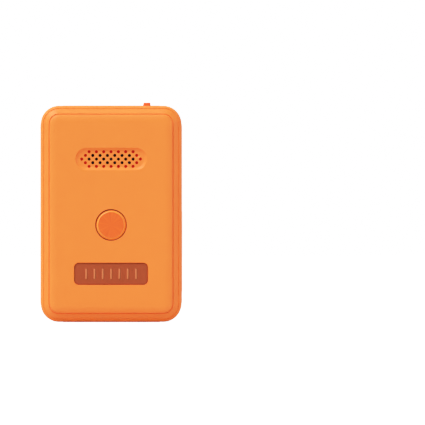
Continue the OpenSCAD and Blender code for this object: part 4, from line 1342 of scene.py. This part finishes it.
class TRANSCEIVER_OT_stage(bpy.types.Operator):
    """Set the floor, the lights, the surroundings and the camera"""

    bl_idname = "transceiver.stage"
    bl_label = "Stage"

    def execute(self, context):
        s = look("stage")
        self.floor(s)
        self.surroundings(s)
        self.lamp("key", s.key_from, s.key_power, s.key_softness)
        self.lamp("fill", s.fill_from, s.fill_power, 2 * s.key_softness)
        self.camera(context.scene, s)
        self.response(context.scene.view_settings)
        return {"FINISHED"}

    def response(self, view):
        """A neutral response with a soft shoulder, so that strong light rolls off."""
        view.view_transform = "Standard"
        view.use_curve_mapping = True
        mapping = view.curve_mapping
        mapping.use_clip = False
        mapping.clip_max_x = mapping.clip_max_y = 3
        curve = mapping.curves[3]
        curve.points[0].location = (0, 0)
        curve.points[1].location = (3, 1.02)
        for point in ((0.35, 0.35), (0.7, 0.7), (0.9, 0.825), (1.1, 0.88), (1.3, 0.94), (1.5, 1)):
            curve.points.new(*point)
        mapping.update()

    def floor(self, s):
        """A pale matte floor that the camera sees evenly lit."""
        f = Finish("pale floor", (0.9, 0.9, 0.9), 0.9, specular=0.0)
        f.paint(f.noise(0.6, 2), *(shade((1, 1, 1), s.floor_grey + lift) for lift in (0, 0.02)))
        glow = f.node("ShaderNodeEmission", Strength=s.floor_glow)
        path = f.node("ShaderNodeLightPath")
        mix = f.tree.nodes.new("ShaderNodeMixShader")
        plain = f.tree.nodes["Principled BSDF"].outputs[0]
        share = f.ranged(path.outputs["Is Camera Ray"], 0, 0.8)
        for socket, value in zip(mix.inputs, (share, plain, glow.outputs[0])):
            f.put(socket, value)
        f.put(f.tree.nodes["Material Output"].inputs["Surface"], mix.outputs[0])
        bm = bmesh.new()
        bm.faces.new([bm.verts.new((x, y, 0)) for x, y in circle_outline(14, 64)])
        made = piece("floor", bm)
        made.data.materials.append(f.material)

    def surroundings(self, s):
        """A studio that is brighter behind the object than in front of it."""
        world = bpy.data.worlds.new("studio")
        world.use_nodes = True
        w = Nodes(world.node_tree)
        seen = w.node("ShaderNodeLightPath").outputs["Is Camera Ray"]
        away = w.xyz(w.node("ShaderNodeTexCoord").outputs["Generated"])["Y"]
        depth = w.ranged(away, s.sky_front, s.sky_back, -0.5, 0.6, "SMOOTHSTEP")
        background = w.tree.nodes["Background"].inputs
        w.put(background["Color"], w.blend(seen, s.sky_tint, (1, 1, 1)))
        w.put(background["Strength"], w.node("ShaderNodeMix", Factor=seen, A=depth, B=s.backdrop).outputs[0])
        bpy.context.scene.world = world

    def lamp(self, name, stands, power, softness):
        data = bpy.data.lights.new(name, "SUN")
        data.energy = power
        data.angle = softness
        made = linked(name, data)
        made.rotation_mode = "QUATERNION"
        made.rotation_quaternion = (-Vector(stands)).to_track_quat("-Z", "Y")

    def camera(self, scene, s):
        data = bpy.data.cameras.new("camera")
        data.lens = s.lens
        away = data.lens / data.sensor_width * s.view_width
        data.clip_start, data.clip_end = 0.1, 60
        made = linked("camera", data)
        made.location = (s.aside, -HALF_DEPTH - away, s.view_rise)
        made.rotation_euler = (QUARTER, 0, 0)
        scene.camera = made


PIECES = (
    TRANSCEIVER_OT_housing,
    TRANSCEIVER_OT_front_cover,
    TRANSCEIVER_OT_rear_cover,
    TRANSCEIVER_OT_side_panels,
    TRANSCEIVER_OT_grip_pads,
    TRANSCEIVER_OT_nameplate,
    TRANSCEIVER_OT_main_button,
    TRANSCEIVER_OT_slide_switch,
    TRANSCEIVER_OT_display,
    TRANSCEIVER_OT_battery_door,
    TRANSCEIVER_OT_battery_bay,
    TRANSCEIVER_OT_screws,
    TRANSCEIVER_OT_antennas,
    TRANSCEIVER_OT_electronics,
    TRANSCEIVER_OT_stage,
)


class TRANSCEIVER_PT_panel(bpy.types.Panel):
    """Sidebar panel with a button for every piece"""

    bl_idname = "TRANSCEIVER_PT_panel"
    bl_label = "Avalanche transceiver"
    bl_space_type = "VIEW_3D"
    bl_region_type = "UI"
    bl_category = SIDEBAR

    def draw(self, context):
        for name in SETTINGS:
            box = self.layout.box()
            group = getattr(context.scene, name)
            for key in group.__annotations__:
                box.prop(group, key)
        for operator in PIECES:
            self.layout.operator(operator.bl_idname)


def register():
    for group in SETTINGS.values():
        bpy.utils.register_class(group)
    for operator in PIECES:
        bpy.utils.register_class(operator)
    bpy.utils.register_class(TRANSCEIVER_PT_panel)
    for name, group in SETTINGS.items():
        setattr(bpy.types.Scene, name, bpy.props.PointerProperty(type=group))


def unregister():
    for name in SETTINGS:
        delattr(bpy.types.Scene, name)
    bpy.utils.unregister_class(TRANSCEIVER_PT_panel)
    for operator in reversed(PIECES):
        bpy.utils.unregister_class(operator)
    for group in reversed(list(SETTINGS.values())):
        bpy.utils.unregister_class(group)


def main():
    register()
    for operator in PIECES:
        group, name = operator.bl_idname.split(".")
        getattr(getattr(bpy.ops, group), name)()


if __name__ == "__main__":
    main()
